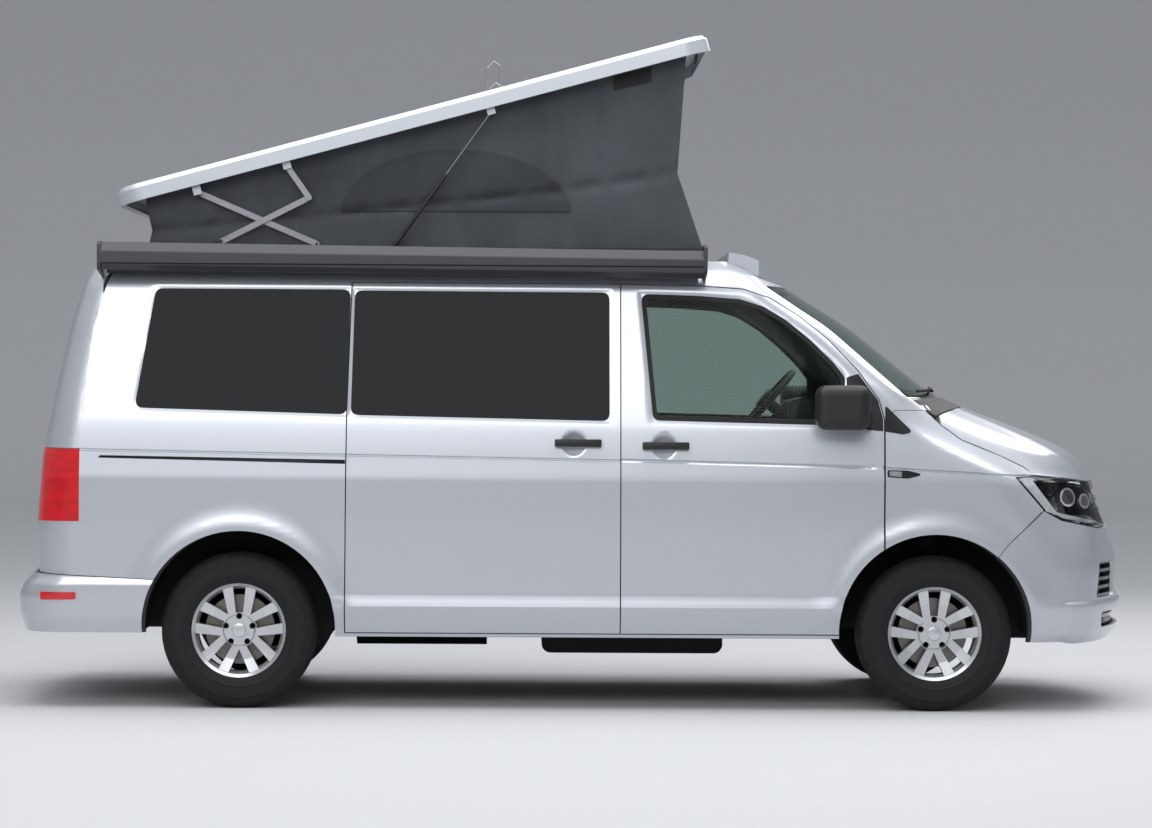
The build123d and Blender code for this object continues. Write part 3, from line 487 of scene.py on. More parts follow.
def arc_and_corner(reach, corner, half, radius):
    """One end of an outline from its centre to the side: (distance out, y) along its arc, then its corner."""
    drop = reach - corner
    if drop < 0.5:
        drop = 0.5
    big = (half**2 + drop**2) / (2 * drop)
    middle = reach - big
    corner_y = half - radius
    corner_x = middle + math.sqrt((big - radius) ** 2 - corner_y**2)
    meet = math.atan2(corner_y, corner_x - middle)
    arc = [(middle + big * math.cos(a), big * math.sin(a)) for a in np.linspace(0, meet, 40)]
    bend = [
        (corner_x + radius * math.cos(a), corner_y + radius * math.sin(a))
        for a in np.linspace(meet, math.pi / 2, 24)[1:]
    ]
    return arc + bend


def outline(table, height):
    """The left half of an outline at a height, from the tail's centre to the nose's, and its lengths."""
    lifted = height + (SILL_LIFT if height < SILL_TOP else 0)
    tuck, tail, tail_corner, tail_radius, nose, nose_corner, nose_radius = section_at(table, lifted)
    half = HALF_WIDTH - tuck
    rear = [(REAR_AXLE - r, y) for r, y in arc_and_corner(tail, tail_corner, half, tail_radius)]
    front = [(FRONT_AXLE + r, y) for r, y in arc_and_corner(nose, nose_corner, half, nose_radius)]
    points = np.array(rear + front[::-1])
    steps = np.hypot(*np.diff(points, axis=0).T)
    return points[:, 0], points[:, 1], np.concatenate([[0], np.cumsum(steps)])


def ticks(low, high, step, fine=()):
    """Grid lines from low to high at a step, closer within each (low, high, step) of fine."""
    lines = set(np.round(np.linspace(low, high, max(2, round((high - low) / step) + 1)), 2))
    for near, far, small in fine:
        near = max(near, low)
        far = min(far, high)
        if far > near:
            lines = {v for v in lines if not near - step * 0.3 < v < far + step * 0.3 or v in (low, high)}
            lines |= set(np.round(np.linspace(near, far, max(2, round((far - near) / small) + 1)), 2))
    return np.array(sorted(lines))


def side_grid(rows, x_lines):
    """Points of the body's side as [row, column, xyz]."""
    grid = []
    for z in rows:
        xs, ys, lengths = outline(BODY, z)
        along = np.interp(x_lines, xs, lengths)
        x = np.interp(along, lengths, xs)
        y = np.interp(along, lengths, ys)
        grid.append(np.stack([x, y, np.full(len(along), z)], 1))
    return np.array(grid)


def centre_lengths(table, rows, count, front, y_limit=None, x_limit=None):
    """Points of a panel across the nose or tail, out to |y| or back to x on both sides."""
    grid = []
    for z in rows:
        xs, ys, lengths = outline(table, z)
        if front:
            xs, ys, lengths = xs[::-1], ys[::-1], lengths[-1] - lengths[::-1]
        if y_limit is not None:
            middle = len(ys) // 2
            reach = float(np.interp(y_limit, ys[:middle], lengths[:middle]))
        else:
            sign = -1 if front else 1
            reach = float(np.interp(sign * x_limit, sign * xs, lengths))
        along = np.linspace(-reach, reach, count)
        x = np.interp(np.abs(along), lengths, xs)
        y = np.interp(np.abs(along), lengths, ys) * np.sign(along)
        grid.append(np.stack([x, y, np.full(count, z)], 1))
    return np.array(grid)


def outward(grid):
    """Unit normals of a grid of points, facing away from the van's middle."""
    across = np.gradient(grid, axis=1)
    up = np.gradient(grid, axis=0)
    normal = np.cross(across, up)
    normal /= np.maximum(np.linalg.norm(normal, axis=2, keepdims=True), 1e-9)
    middle = grid - np.array([0, 0, 1000])
    facing = np.sign((normal[..., :2] * middle[..., :2]).sum(2))
    return normal * np.where(facing == 0, 1, facing)[..., None]


# Soft features pressed into the skins, as millimetres proud (+) or sunk (-) at (x, z)
SLIDING_WINDOW = [(-967, 1804), (133, 1802), (135, 1246), (-979, 1266)]
QUARTER_WINDOW = [(-1826, 1808), (-985, 1808), (-996, 1268), (-1908, 1292)]
FRONT_WINDOW = [
    (268, 1797), (519, 1790), (700, 1776), (800, 1745), (900, 1685), (1000, 1603), (1100, 1505), (1150, 1440),
    (1150, 1232), (322, 1250),
]
LEFT_WINDOW = [(-860, 1802), (135, 1802), (135, 1246), (-860, 1262)]
WAIST = ((-2200, 1112), (-994, 1093), (186, 1075), (1316, 1049), (1900, 1018))
GROOVE_DEPTH = 7
GROOVE_HALF = 4.5
RAIL = (-2060, -998, 1080, 1064)
DISHES = {"sliding": (-19, 1148), "front": (370, 1138)}
DISH_RADIUS = 53
DISH_DEPTH = 15
SWAGE_WIDTH = 15
SWAGE_DEPTH = 4
FLARE_HEIGHT = 17
FLARE_LIP = 26
FLARE_REACH = 105


def waist_height(x):
    return np.interp(x, [p[0] for p in WAIST], [p[1] for p in WAIST])


def edge_distance(x, z, points):
    """Distance to the nearest edge of an outline, negative inside it."""
    nearest = np.full(x.shape, 1e9)
    inside = np.zeros(x.shape, bool)
    for (ax, az), (bx, bz) in zip(points, points[1:] + points[:1]):
        t = np.clip(((x - ax) * (bx - ax) + (z - az) * (bz - az)) / ((bx - ax) ** 2 + (bz - az) ** 2), 0, 1)
        nearest = np.minimum(nearest, np.hypot(x - ax - t * (bx - ax), z - az - t * (bz - az)))
        crosses = ((az > z) != (bz > z)) & (x < (bx - ax) * (z - az) / (bz - az + 1e-9) + ax)
        inside ^= crosses
    return np.where(inside, -nearest, nearest)


def smooth(t):
    t = np.clip(t, 0, 1)
    return t * t * (3 - 2 * t)


def flare(x, z, axle):
    """How far a wheel arch's flare stands proud."""
    r = np.hypot(x - axle, z - ARCH_Z)
    t = np.clip((r - ARCH_RADIUS - FLARE_LIP) / FLARE_REACH, 0, 1)
    return FLARE_HEIGHT * (1 - t) ** 2 * smooth((z - 330) / 200)


def side_relief(x, z, windows, dish):
    """The pressed features of a side panel."""
    sunk = np.zeros(x.shape)
    for axle in (FRONT_AXLE, REAR_AXLE):
        sunk += flare(x, z, axle)
    line = waist_height(x)
    sunk -= GROOVE_DEPTH * (np.abs(z - line) < GROOVE_HALF)
    for window in windows:
        d = edge_distance(x, z, window)
        sunk -= SWAGE_DEPTH * (1 - np.clip(d / SWAGE_WIDTH, 0, 1))
    if dish:
        r = np.hypot(x - dish[0], z - dish[1]) / DISH_RADIUS
        sunk -= DISH_DEPTH * np.clip(1 - r**2.5, 0, 1)
    return sunk


def grid_mesh(grid, name):
    """Mesh of quads through a grid of points, facing outwards."""
    rows, columns = grid.shape[:2]
    bm = bmesh.new()
    bmesh.ops.create_grid(bm, x_segments=columns - 1, y_segments=rows - 1, size=1.0)
    for vert in bm.verts:
        column = round((vert.co.x + 1) / 2 * (columns - 1))
        row = round((vert.co.y + 1) / 2 * (rows - 1))
        vert.co = grid[row, column]
    mesh = bpy.data.meshes.new(name)
    bm.faces.ensure_lookup_table()
    bm.normal_update()
    middle_face = bm.faces[len(bm.faces) // 2]
    centre = middle_face.calc_center_median() - Vector((0, 0, 1000))
    if middle_face.normal.x * centre.x + middle_face.normal.y * centre.y < 0:
        bmesh.ops.reverse_faces(bm, faces=bm.faces[:])
    bm.to_mesh(mesh)
    bm.free()
    return mesh


def cutter(shape):
    """Mesh for cutting, from (points, low, high, axis, radius)."""
    bm = bmesh.new()
    prism(bm, *shape)
    mesh = bpy.data.meshes.new("cutter")
    bm.to_mesh(mesh)
    bm.free()
    return mesh


def thick_cut(mesh, name, inside, cuts, thickness=SKIN):
    """Gives a skin its thickness, keeps what lies inside one prism and takes each cutter away."""
    piece = bpy.data.objects.new(name, mesh)
    scene.collection.objects.link(piece)
    if thickness:
        solid = piece.modifiers.new("thickness", "SOLIDIFY")
        solid.thickness = thickness
        solid.offset = -1
    helpers = []
    jobs = [("INTERSECT", shape) for shape in inside] + [("DIFFERENCE", shape) for shape in cuts]
    for number, (operation, shape) in enumerate(jobs):
        helper = bpy.data.objects.new("cutter", cutter(shape))
        scene.collection.objects.link(helper)
        helpers.append(helper)
        modifier = piece.modifiers.new("cut%d" % number, "BOOLEAN")
        modifier.operation = operation
        modifier.object = helper
        modifier.solver = "EXACT"
    bpy.context.view_layer.update()
    graph = bpy.context.evaluated_depsgraph_get()
    result = bpy.data.meshes.new_from_object(piece.evaluated_get(graph))
    for thing in [piece, *helpers]:
        bpy.data.objects.remove(thing)
    return result


def grown(points, amount):
    """An outline moved outwards by an amount."""
    area = sum(a[0] * b[1] - b[0] * a[1] for a, b in zip(points, points[1:] + points[:1]))
    sign = 1 if area > 0 else -1
    moved = []
    for i, point in enumerate(points):
        here = Vector(point)
        before = (here - Vector(points[i - 1])).normalized()
        after = (Vector(points[(i + 1) % len(points)]) - here).normalized()
        n1 = Vector((before.y, -before.x)) * sign
        n2 = Vector((after.y, -after.x)) * sign
        bisector = n1 + n2
        moved.append(tuple(here + bisector * (amount / max(0.3, bisector.dot(n1)))))
    return moved


def circle(x, z, radius, count=72):
    return [
        (x + radius * math.cos(2 * math.pi * k / count), z + radius * math.sin(2 * math.pi * k / count))
        for k in range(count)
    ]


FAR = 1400
SLIDING_DOOR = [(-998, 330), (183.5, 330), (178.5, 1836), (-978, 1836), (-994, 1260)]
FRONT_DOOR = [
    (188.5, 330), (183.5, 1836), (520, 1831), (715, 1817), (822, 1782), (951, 1705), (1080, 1600),
    (1209, 1463), (1294, 1342), (1316, 1260), (1316, 330),
]
BONNET_LINE = [(1509, 1300), (1573, 1238), (1659, 1173), (1832, 1105), (1939, 1053), (1983, 1022)]
LAMP = [
    (1885, 1016), (1983, 1020), (2110, 1008), (2244, 990), (2600, 975), (2600, 787), (2296, 787),
    (2090, 829), (2010, 873),
]
BUMPER_SEAM = [(1856, 724), (2009, 868), (2090, 826), (2296, 784)]
WING = [
    (1321, 330), (1321, 1238), (1360, 1300), *BONNET_LINE, LAMP[0], LAMP[8], BUMPER_SEAM[0],
    (FRONT_AXLE, ARCH_Z),
]
REAR_BUMPER_ZONE = [
    (-2700, 200), (-2700, 580), (-2330, 577), (-1800, 552), (REAR_AXLE, 548), (REAR_AXLE, 200),
]
SCREEN = [(-775, 1356), (775, 1356), (700, 1838), (-700, 1838)]
TAIL_WINDOW = [(-690, 1246), (690, 1246), (640, 1800), (-640, 1800)]
GATE_HALF = 742
GATE_SEAM = [
    (-2141, 1118), (-2138, 1200), (-2130, 1250), (-2112, 1440), (-2090, 1627), (-2050, 1780),
    (-2010, 1890), (-2000, 1950),
]
SCREEN_EDGE = [(775 - 75 * k / 12, 1356 + 482 * k / 12) for k in range(13)]


def side_cut(points, side, radius=0.0):
    low, high = sorted((side * 300, side * FAR))
    return (points, low, high, "Y", radius)


# Skins are cut while flat, as (length along the outline, depth, height), and then wrapped round the form
Form = namedtuple("Form", "kind heights lengths xs ys")
FORM_STEP = 5.0
FORM_REACH = 2800.0
FLAT_REACH = 60


def form_of(table, kind):
    """Points of the form by height and by length from x = 0, or from the nose's or tail's centre."""
    heights = np.arange(table[0].height, table[-1].height + 0.1, FORM_STEP)
    spots = np.arange(-FORM_REACH, FORM_REACH + 1, FORM_STEP)
    xs, ys = [], []
    for height in heights:
        row_x, row_y, lengths = outline(table, height)
        if kind == "side":
            along = spots + np.interp(0, row_x, lengths)
        elif kind == "nose":
            along = lengths[-1] - np.abs(spots)
        else:
            along = np.abs(spots)
        xs.append(np.interp(along, lengths, row_x))
        ys.append(np.interp(along, lengths, row_y) * (1 if kind == "side" else np.sign(spots)))
    return Form(kind, heights, spots, np.array(xs), np.array(ys))


SIDE = form_of(BODY, "side")
NOSE = form_of(BODY, "nose")
TAIL = form_of(BODY, "tail")


def surface(form, along, z):
    """Points of a form at lengths and heights."""
    rise = (z - form.heights[0]) / FORM_STEP
    run = (along + FORM_REACH) / FORM_STEP
    k = np.clip(rise.astype(int), 0, len(form.heights) - 2)
    j = np.clip(run.astype(int), 0, len(form.lengths) - 2)
    t = rise - k
    s = run - j

    def mix(values):
        low = values[k, j] * (1 - s) + values[k, j + 1] * s
        high = values[k + 1, j] * (1 - s) + values[k + 1, j + 1] * s
        return low * (1 - t) + high * t

    return np.stack([mix(form.xs), mix(form.ys), z], axis=-1)


def length_at(form, value, z, view="side", rear=False):
    """Length along a form's outline at a height, where it passes an x (side view) or a y (end view)."""
    k = int(np.clip(round((z - form.heights[0]) / FORM_STEP), 0, len(form.heights) - 1))
    half = len(form.lengths) // 2
    if form.kind == "side":
        if view == "side":
            return float(np.interp(value, form.xs[k], form.lengths))
        if rear:
            return float(np.interp(value, form.ys[k, :half], form.lengths[:half]))
        return float(np.interp(-value, -form.ys[k, half:], form.lengths[half:]))
    if view == "end":
        return float(np.interp(value, form.ys[k], form.lengths))
    sign = -1 if form.kind == "nose" else 1
    return float(np.interp(sign * value, sign * form.xs[k, half:], form.lengths[half:]))


def flattened(form, points, view="side", rear=False, radius=0.0):
    """An outline from the side or end view, laid on the flat panel as a cutting shape."""
    corners = round_corners(points, radius) if radius else [Vector(p) for p in points]
    flat = []
    for here, there in zip(corners, corners[1:] + corners[:1]):
        count = max(1, int((there - here).length / 15))
        for k in range(count):
            spot = here.lerp(there, k / count)
            flat.append((length_at(form, spot[0], spot[1], view, rear), spot[1]))
    return (flat, -FLAT_REACH, FLAT_REACH, "Y", 0.0)


def flat_slab(name, spots, rows, thickness, follow=None):
    """A flat slab of quads, from which a skin is cut."""
    bm = bmesh.new()
    bmesh.ops.create_grid(bm, x_segments=len(spots) - 1, y_segments=len(rows) - 1, size=1.0)
    for vert in bm.verts:
        along = spots[round((vert.co.x + 1) / 2 * (len(spots) - 1))]
        z = rows[round((vert.co.y + 1) / 2 * (len(rows) - 1))]
        vert.co = (along, 0, z + (follow(along, z) if follow else 0))
    lifted = bmesh.ops.extrude_face_region(bm, geom=bm.faces[:])
    verts = [v for v in lifted["geom"] if isinstance(v, bmesh.types.BMVert)]
    bmesh.ops.translate(bm, verts=verts, vec=(0, thickness, 0))
    bmesh.ops.recalc_face_normals(bm, faces=bm.faces[:])
    mesh = bpy.data.meshes.new(name)
    bm.to_mesh(mesh)
    bm.free()
    return mesh


def wrap(mesh, form, side=LEFT, relief=None, offset=0.0):
    """Wraps a flat skin round the form, with its pressed features."""
    flat = np.empty(len(mesh.vertices) * 3, np.float32)
    mesh.vertices.foreach_get("co", flat)
    along, depth, z = flat.reshape(-1, 3).astype(float).T
    place = surface(form, along, z)
    across = surface(form, along + 2, z) - surface(form, along - 2, z)
    up = surface(form, along, z + 2) - surface(form, along, z - 2)
    normal = np.cross(across, up) * (1 if form.kind == "nose" else -1)
    normal /= np.maximum(np.linalg.norm(normal, axis=1, keepdims=True), 1e-9)
    proud = offset - depth
    if relief:
        proud = proud + relief(place[:, 0], place[:, 1], z)
    place = place + normal * proud[:, None]
    place[:, 1] *= side
    mesh.vertices.foreach_set("co", place.ravel())
    bm = bmesh.new()
    bm.from_mesh(mesh)
    bmesh.ops.recalc_face_normals(bm, faces=bm.faces[:])
    bm.to_mesh(mesh)
    bm.free()


WAIST_ROW = 1080
WAIST_BAND = 240


def follow_waist(along, z):
    """Moves the grid's rows near the waist so that they run along its groove."""
    share = max(0.0, 1 - abs(z - WAIST_ROW) / WAIST_BAND)
    return float(waist_height(along) - WAIST_ROW) * share


def skin_rows(low, high, windows=(), dish=None, step=24):
    """Heights of a skin's grid, closer at its creases, its windows' edges and its handle dish."""
    fine = [(492, 522, 7), (974, 998, 6), (1068, 1092, 3)]
    for window in windows:
        fine += [(min(p[1] for p in window) - 20, min(p[1] for p in window) + 4, 6)]
        fine += [(max(p[1] for p in window) - 4, max(p[1] for p in window) + 20, 6)]
    if dish:
        fine += [(dish[1] - 54, dish[1] + 60, 7)]
    return ticks(low, high, step, fine)


def skin_lengths(low, high, windows=(), dish=None, step=26):
    """Lengths of a skin's grid, closer at its windows' ends and its handle dish."""
    fine = [(axle - 480, axle + 480, 18) for axle in (FRONT_AXLE, REAR_AXLE)]
    for window in windows:
        for edge in (min(p[0] for p in window), max(p[0] for p in window)):
            fine.append((edge - 20, edge + 20, 8))
    if dish:
        fine.append((dish[0] - 58, dish[0] + 58, 7))
    return ticks(low, high, step, fine)


def side_panel(name, body, points, x_range, z_range, side, windows=(), dish=None, cuts=(), flat_cuts=(),
               thickness=SKIN):
    """A painted side panel with its pressed features, cut to its outline."""
    rows = skin_rows(*z_range, windows, dish)
    mesh = flat_slab(name, skin_lengths(*x_range, windows, dish), rows, thickness, follow_waist)
    openings = [flattened(SIDE, window, radius=34) for window in windows]
    wheel_cuts = [
        flattened(SIDE, circle(axle, ARCH_Z, ARCH_RADIUS))
        for axle in (FRONT_AXLE, REAR_AXLE)
        if x_range[0] - 500 < axle < x_range[1] + 500
    ]
    cutters = [flattened(SIDE, cut) for cut in cuts]
    mesh = thick_cut(
        mesh, name, [flattened(SIDE, p) for p in points], [*openings, *cutters, *flat_cuts, *wheel_cuts], 0
    )
    wrap(mesh, SIDE, side, lambda x, y, z: side_relief(x, z, windows, dish))
    return settle(mesh, name, body, PAINT, "paint", angle=28)


def pane(name, body, points, side, material, slot, inset=-1.5, thickness=5):
    """Glass flush with the skin, in its window's outline."""
    xs = [p[0] for p in points]
    zs = [p[1] for p in points]
    x_lines = ticks(min(xs) - 10, max(xs) + 10, 60)
    rows = ticks(min(zs) - 10, max(zs) + 10, 40)
    grid = side_grid(rows, x_lines)
    grid = grid + outward(grid) * (inset - SWAGE_DEPTH + 1)
    grid[..., 1] *= side
    mesh = thick_cut(grid_mesh(grid, name), name, [side_cut(grown(points, -2), side, 32)], [], thickness)
    return settle(mesh, name, body, material, slot)


def window_seal(name, body, points, side, width=9):
    """Black seal in the joint round a pane, standing a little under the glass."""
    xs = [p[0] for p in points]
    zs = [p[1] for p in points]
    grid = side_grid(ticks(min(zs) - 12, max(zs) + 12, 30), ticks(min(xs) - 12, max(xs) + 12, 40))
    grid = grid + outward(grid) * (-SWAGE_DEPTH - 1.5)
    grid[..., 1] *= side
    mesh = thick_cut(
        grid_mesh(grid, name), name, [side_cut(grown(points, 1.0), side, 34)],
        [side_cut(grown(points, -width), side, 28)], 12,
    )
    return settle(mesh, name, body, SEAL, "black_trim")


made = {}
# Right side
made["sliding_door"] = side_panel(
    "sliding_door_skin", "body", [SLIDING_DOOR], (-1004, 190), (324, 1842), RIGHT, [SLIDING_WINDOW],
    DISHES["sliding"],
)
made["door_right"] = side_panel(
    "front_door_skin_right", "door_right", [FRONT_DOOR], (182, 1400), (324, 1842), RIGHT, [FRONT_WINDOW],
    DISHES["front"], thickness=6,
)
rail_slot = [
    (RAIL[0], RAIL[2] - 4), (RAIL[0] + 8, RAIL[2] + 7), (RAIL[1] - 3, RAIL[3] + 9),
    (RAIL[1] - 3, RAIL[3] - 9),
]
front_zone = [(1316, 200), (1316, 1238), (1360, 1300), (1509, 1300), (2700, 1300), (2700, 200)]
lamp_hole = [(-2700, 803), (-2139, 803), (-2139, 1113), (-2700, 1113)]
side_zone = [(-2700, 300), (-2700, 1944), (1700, 1944), (1700, 300)]


def body_side(name, side):
    """The bodyside: quarter, pillars, cantrail and sill, with its openings."""
    windows = [QUARTER_WINDOW] if side == RIGHT else [QUARTER_WINDOW, LEFT_WINDOW]
    cuts = [grown(FRONT_DOOR, PANEL_GAP), front_zone, lamp_hole, grown(REAR_BUMPER_ZONE, 3)]
    if side == RIGHT:
        cuts += [grown(SLIDING_DOOR, PANEL_GAP), rail_slot]
    gate_line = [(length_at(SIDE, x, z) - PANEL_GAP / 2, z) for x, z in GATE_SEAM]
    gate_cut = ([(-FORM_REACH, 1118), *gate_line, (-FORM_REACH, 1960)], -FLAT_REACH, FLAT_REACH, "Y", 0.0)
    low_line = [(length_at(SIDE, GATE_HALF, z, "end", True), z) for z in range(560, 1120, 15)]
    low_reach = ([(-FORM_REACH, 560), *low_line, (-FORM_REACH, 1119)], -FLAT_REACH, FLAT_REACH, "Y", 0.0)
    screen_line = [(length_at(SIDE, y, z, "end") - 3, z) for y, z in SCREEN_EDGE]
    screen_cut = ([*screen_line, (FORM_REACH, 1838), (FORM_REACH, 1356)], -FLAT_REACH, FLAT_REACH, "Y", 0.0)
    reach = (
        min(length_at(SIDE, 690, z, "end", True) for z in (600, 900)),
        max(length_at(SIDE, 660, z, "end") for z in (1360, 1830, 1940)),
    )
    return side_panel(name, "body", [side_zone], reach, (312, 1944), side, windows, None, cuts,
                      [gate_cut, low_reach, screen_cut])


made["side_right"] = body_side("bodyside_skin_right", RIGHT)
made["side_left"] = body_side("bodyside_skin_left", LEFT)
made["wing_right"] = side_panel(
    "wing_skin_right", "body", [grown(WING, -PANEL_GAP / 2)], (1300, 2450), (330, 1302), RIGHT,
)
made["door_left"] = mirrored(made["door_right"], "front_door_skin_left", "door_left")
made["wing_left"] = mirrored(made["wing_right"], "wing_skin_left", "body")
panes = [
    pane("sliding_door_glass", "body", SLIDING_WINDOW, RIGHT, PRIVACY, "tinted_glass"),
    pane("quarter_glass_right", "body", QUARTER_WINDOW, RIGHT, PRIVACY, "tinted_glass"),
    pane("quarter_glass_left", "body", QUARTER_WINDOW, LEFT, PRIVACY, "tinted_glass"),
    pane("middle_glass_left", "body", LEFT_WINDOW, LEFT, PRIVACY, "tinted_glass"),
]
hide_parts("side_glass")
for side, hand in ((RIGHT, "right"), (LEFT, "left")):
    door = "door_" + hand
    glass = pane("front_door_glass_" + hand, door, FRONT_WINDOW, side, CLEAR, "clear_glass", inset=-6)
    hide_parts("door_glass_" + hand)
    window_seal("front_window_seal_" + hand, door, FRONT_WINDOW, side, 20)
    window_seal("quarter_window_seal_" + hand, "body", QUARTER_WINDOW, side)
window_seal("sliding_window_seal", "body", SLIDING_WINDOW, RIGHT)
window_seal("middle_window_seal", "body", LEFT_WINDOW, LEFT)


def centre_panel(
    name, body, rows, count, front, inside, cuts, material=PAINT, slot="paint", table=BODY, inset=0.0,
    thickness=SKIN, y_limit=None, x_limit=None, relief=None, angle=28,
):
    """A panel across the nose or tail, cut to its outline."""
    grid = centre_lengths(table, rows, count, front, y_limit, x_limit)
    proud = np.full(grid.shape[:2], float(inset))
    if relief:
        proud += relief(grid[..., 0], grid[..., 1], grid[..., 2])
    grid = grid + outward(grid) * proud[..., None]
    mesh = thick_cut(grid_mesh(grid, name), name, inside, cuts, thickness)
    return settle(mesh, name, body, material, slot, angle)


# Tail: gate and its glass
def tailgate_relief(x, y, z):
    """A waist crease, a blank recess for a plate and a swage round the glass."""
    sunk = -GROOVE_DEPTH * np.where(np.abs(z - waist_height(-2200.0)) < GROOVE_HALF, 1.0, 0.0)
    plate = edge_distance(y, z, [(-275, 700), (275, 700), (275, 850), (-275, 850)])
    sunk = sunk - 12 * smooth(-plate / 14)
    glass = edge_distance(y, z, TAIL_WINDOW)
    return sunk - SWAGE_DEPTH * (1 - np.clip(glass / SWAGE_WIDTH, 0, 1))


tail_rows = ticks(
    584, 1944, 18, [(1104, 1118, 2.8), (1226, 1252, 6), (1796, 1820, 6), (690, 714, 6), (836, 860, 6)]
)
gate_side = [(length_at(TAIL, x, z) - PANEL_GAP / 2, z) for x, z in GATE_SEAM]
low_side = [(length_at(TAIL, GATE_HALF -PANEL_GAP / 2, z, "end"), z) for z in range(586, 1120, 15)]
gate_half = [*low_side, *gate_side]
gate_shape = [*gate_half, *[(-s, z) for s, z in reversed(gate_half)]]
gate_reach = max(s for s, z in gate_half) + 8
gate = flat_slab("tailgate_skin", ticks(-gate_reach, gate_reach, 22), tail_rows, SKIN)
gate = thick_cut(
    gate, "tailgate_skin", [(gate_shape, -FLAT_REACH, FLAT_REACH, "Y", 0.0)],
    [flattened(TAIL, TAIL_WINDOW, "end", radius=54.0)], 0,
)
wrap(gate, TAIL, LEFT, tailgate_relief)
made["tailgate"] = settle(gate, "tailgate_skin", "tailgate", PAINT, "paint", angle=28)
tail_glass = centre_panel(
    "tailgate_pane", "tailgate", ticks(1230, 1815, 40), 50, False,
    [(grown(TAIL_WINDOW, -2), -2700, -2000, "X", 52.0)], [], PRIVACY, "tinted_glass", inset=-SWAGE_DEPTH,
    thickness=5, y_limit=720,
)
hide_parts("tailgate_glass")


# Nose: screen, header, cowl and bonnet
def bonnet_edge(y):
    """Where the bonnet's rear edge lies along the van."""
    return 1560 + 185 * (1 - (y / 760) ** 2)


screen = centre_panel(
    "windscreen_pane", "body", ticks(1340, 1850, 30), 60, True, [(grown(SCREEN, -2), 700, 1800, "X", 58.0)], [],
    CLEAR, "clear_glass", inset=-2, thickness=6, y_limit=800,
)
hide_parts("windscreen")
centre_panel(
    "windscreen_header", "body", ticks(1836, 1944, 12), 60, True,
    [([(-658, 1843), (658, 1843), (648, 1944), (-648, 1944)], 560, 1400, "X", 0.0)], [], y_limit=670,
)
before_cowl = [*[(bonnet_edge(y) - 2, y) for y in range(-780, 781, 60)], (2400, 780), (2400, -780)]
centre_panel(
    "cowl_panel", "body", ticks(1180, 1360, 10), 90, True,
    [([(-758, 1200), (758, 1200), (758, 1353), (-758, 1353)], 1200, 1900, "X", 0.0)],
    [(before_cowl, 900, 1600, "Z", 0.0)], BLACK, "black_trim", y_limit=800,
)


def bonnet_relief(x, y, z):
    """Two soft ridges that run down the bonnet."""
    ridge = 430 + (x - 1600) * 0.12
    return 5 * np.exp(-(((np.abs(y) - ridge) / 60) ** 2)) * smooth((1330 - z) / 40) * smooth((z - 985) / 60)


def cowl_height(y):
    """Height of the form above the bonnet's rear edge at a distance from the centre plane."""
    half = len(NOSE.lengths) // 2
    edge = bonnet_edge(y) + 6
    reach = np.array([np.interp(y, NOSE.ys[k, half:], NOSE.xs[k, half:]) for k in range(len(NOSE.heights))])
    return float(np.interp(-edge, -reach, NOSE.heights))


bonnet_side = [
    (length_at(NOSE, x, z) - PANEL_GAP / 2, z + 2)
    for x, z in (LAMP[3], LAMP[2], *reversed(BONNET_LINE[1:]))
]
bonnet_rear = [(length_at(NOSE, y, cowl_height(y), "end"), cowl_height(y)) for y in range(740, -1, -20)]
bonnet_half = [*bonnet_side, *[p for p in bonnet_rear if p[1] > BONNET_LINE[1][1]]]
bonnet_shape = [(0, 978), *bonnet_half, *[(-s, z) for s, z in reversed(bonnet_half[:-1])]]
bonnet_reach = max(s for s, z in bonnet_half) + 8
bonnet = flat_slab("bonnet_skin", ticks(-bonnet_reach, bonnet_reach, 20), ticks(972, 1352, 5), SKIN)
bonnet = thick_cut(bonnet, "bonnet_skin", [(bonnet_shape, -FLAT_REACH, FLAT_REACH, "Y", 0.0)], [], 0)
wrap(bonnet, NOSE, LEFT, bonnet_relief)
made["bonnet"] = settle(bonnet, "bonnet_skin", "bonnet", PAINT, "paint", angle=28)

# Front bumper
INTAKES = [
    [(-430, 487), (430, 487), (430, 640), (-430, 640)],
    [(-700, 356), (700, 356), (740, 424), (-740, 424)],
    [(-480, 487), (-770, 487), (-740, 640), (-480, 640)],
    [(480, 487), (770, 487), (740, 640), (480, 640)],
]


def bumper_relief(x, y, z):
    """A ledge above the lower intake and the wheel arch's flare."""
    ledge = 14 * smooth((478 - z) / 14) * smooth((x - 2080) / 60)
    return np.maximum(ledge, flare(x, z, FRONT_AXLE) * (np.abs(y) > 700))


def arch_cuts(axle):
    """An axle's two wheel arches as cutting shapes."""
    arch = circle(axle, ARCH_Z, ARCH_RADIUS)
    return [(arch, -FAR, 0, "Y", 0.0), (arch, 0, FAR, "Y", 0.0)]


bumper_zone = [(FRONT_AXLE, 250), (FRONT_AXLE, ARCH_Z), *BUMPER_SEAM, (2600, 784), (2600, 250)]
made["front_bumper"] = centre_panel(
    "front_bumper_skin", "body", ticks(302, 878, 14, [(455, 485, 4)]), 220, True,
    [(bumper_zone, -FAR, FAR, "Y", 0.0)],
    [*[(shape, 2000, 2700, "X", 18.0) for shape in INTAKES], *arch_cuts(FRONT_AXLE)],
    table=FRONT_BUMPER, x_limit=FRONT_AXLE + 4, relief=bumper_relief,
)


# Rear bumper
def rear_bumper_relief(x, y, z):
    """A rounded shelf along its top."""
    return 10 * smooth((572 - z) / 50) - 4


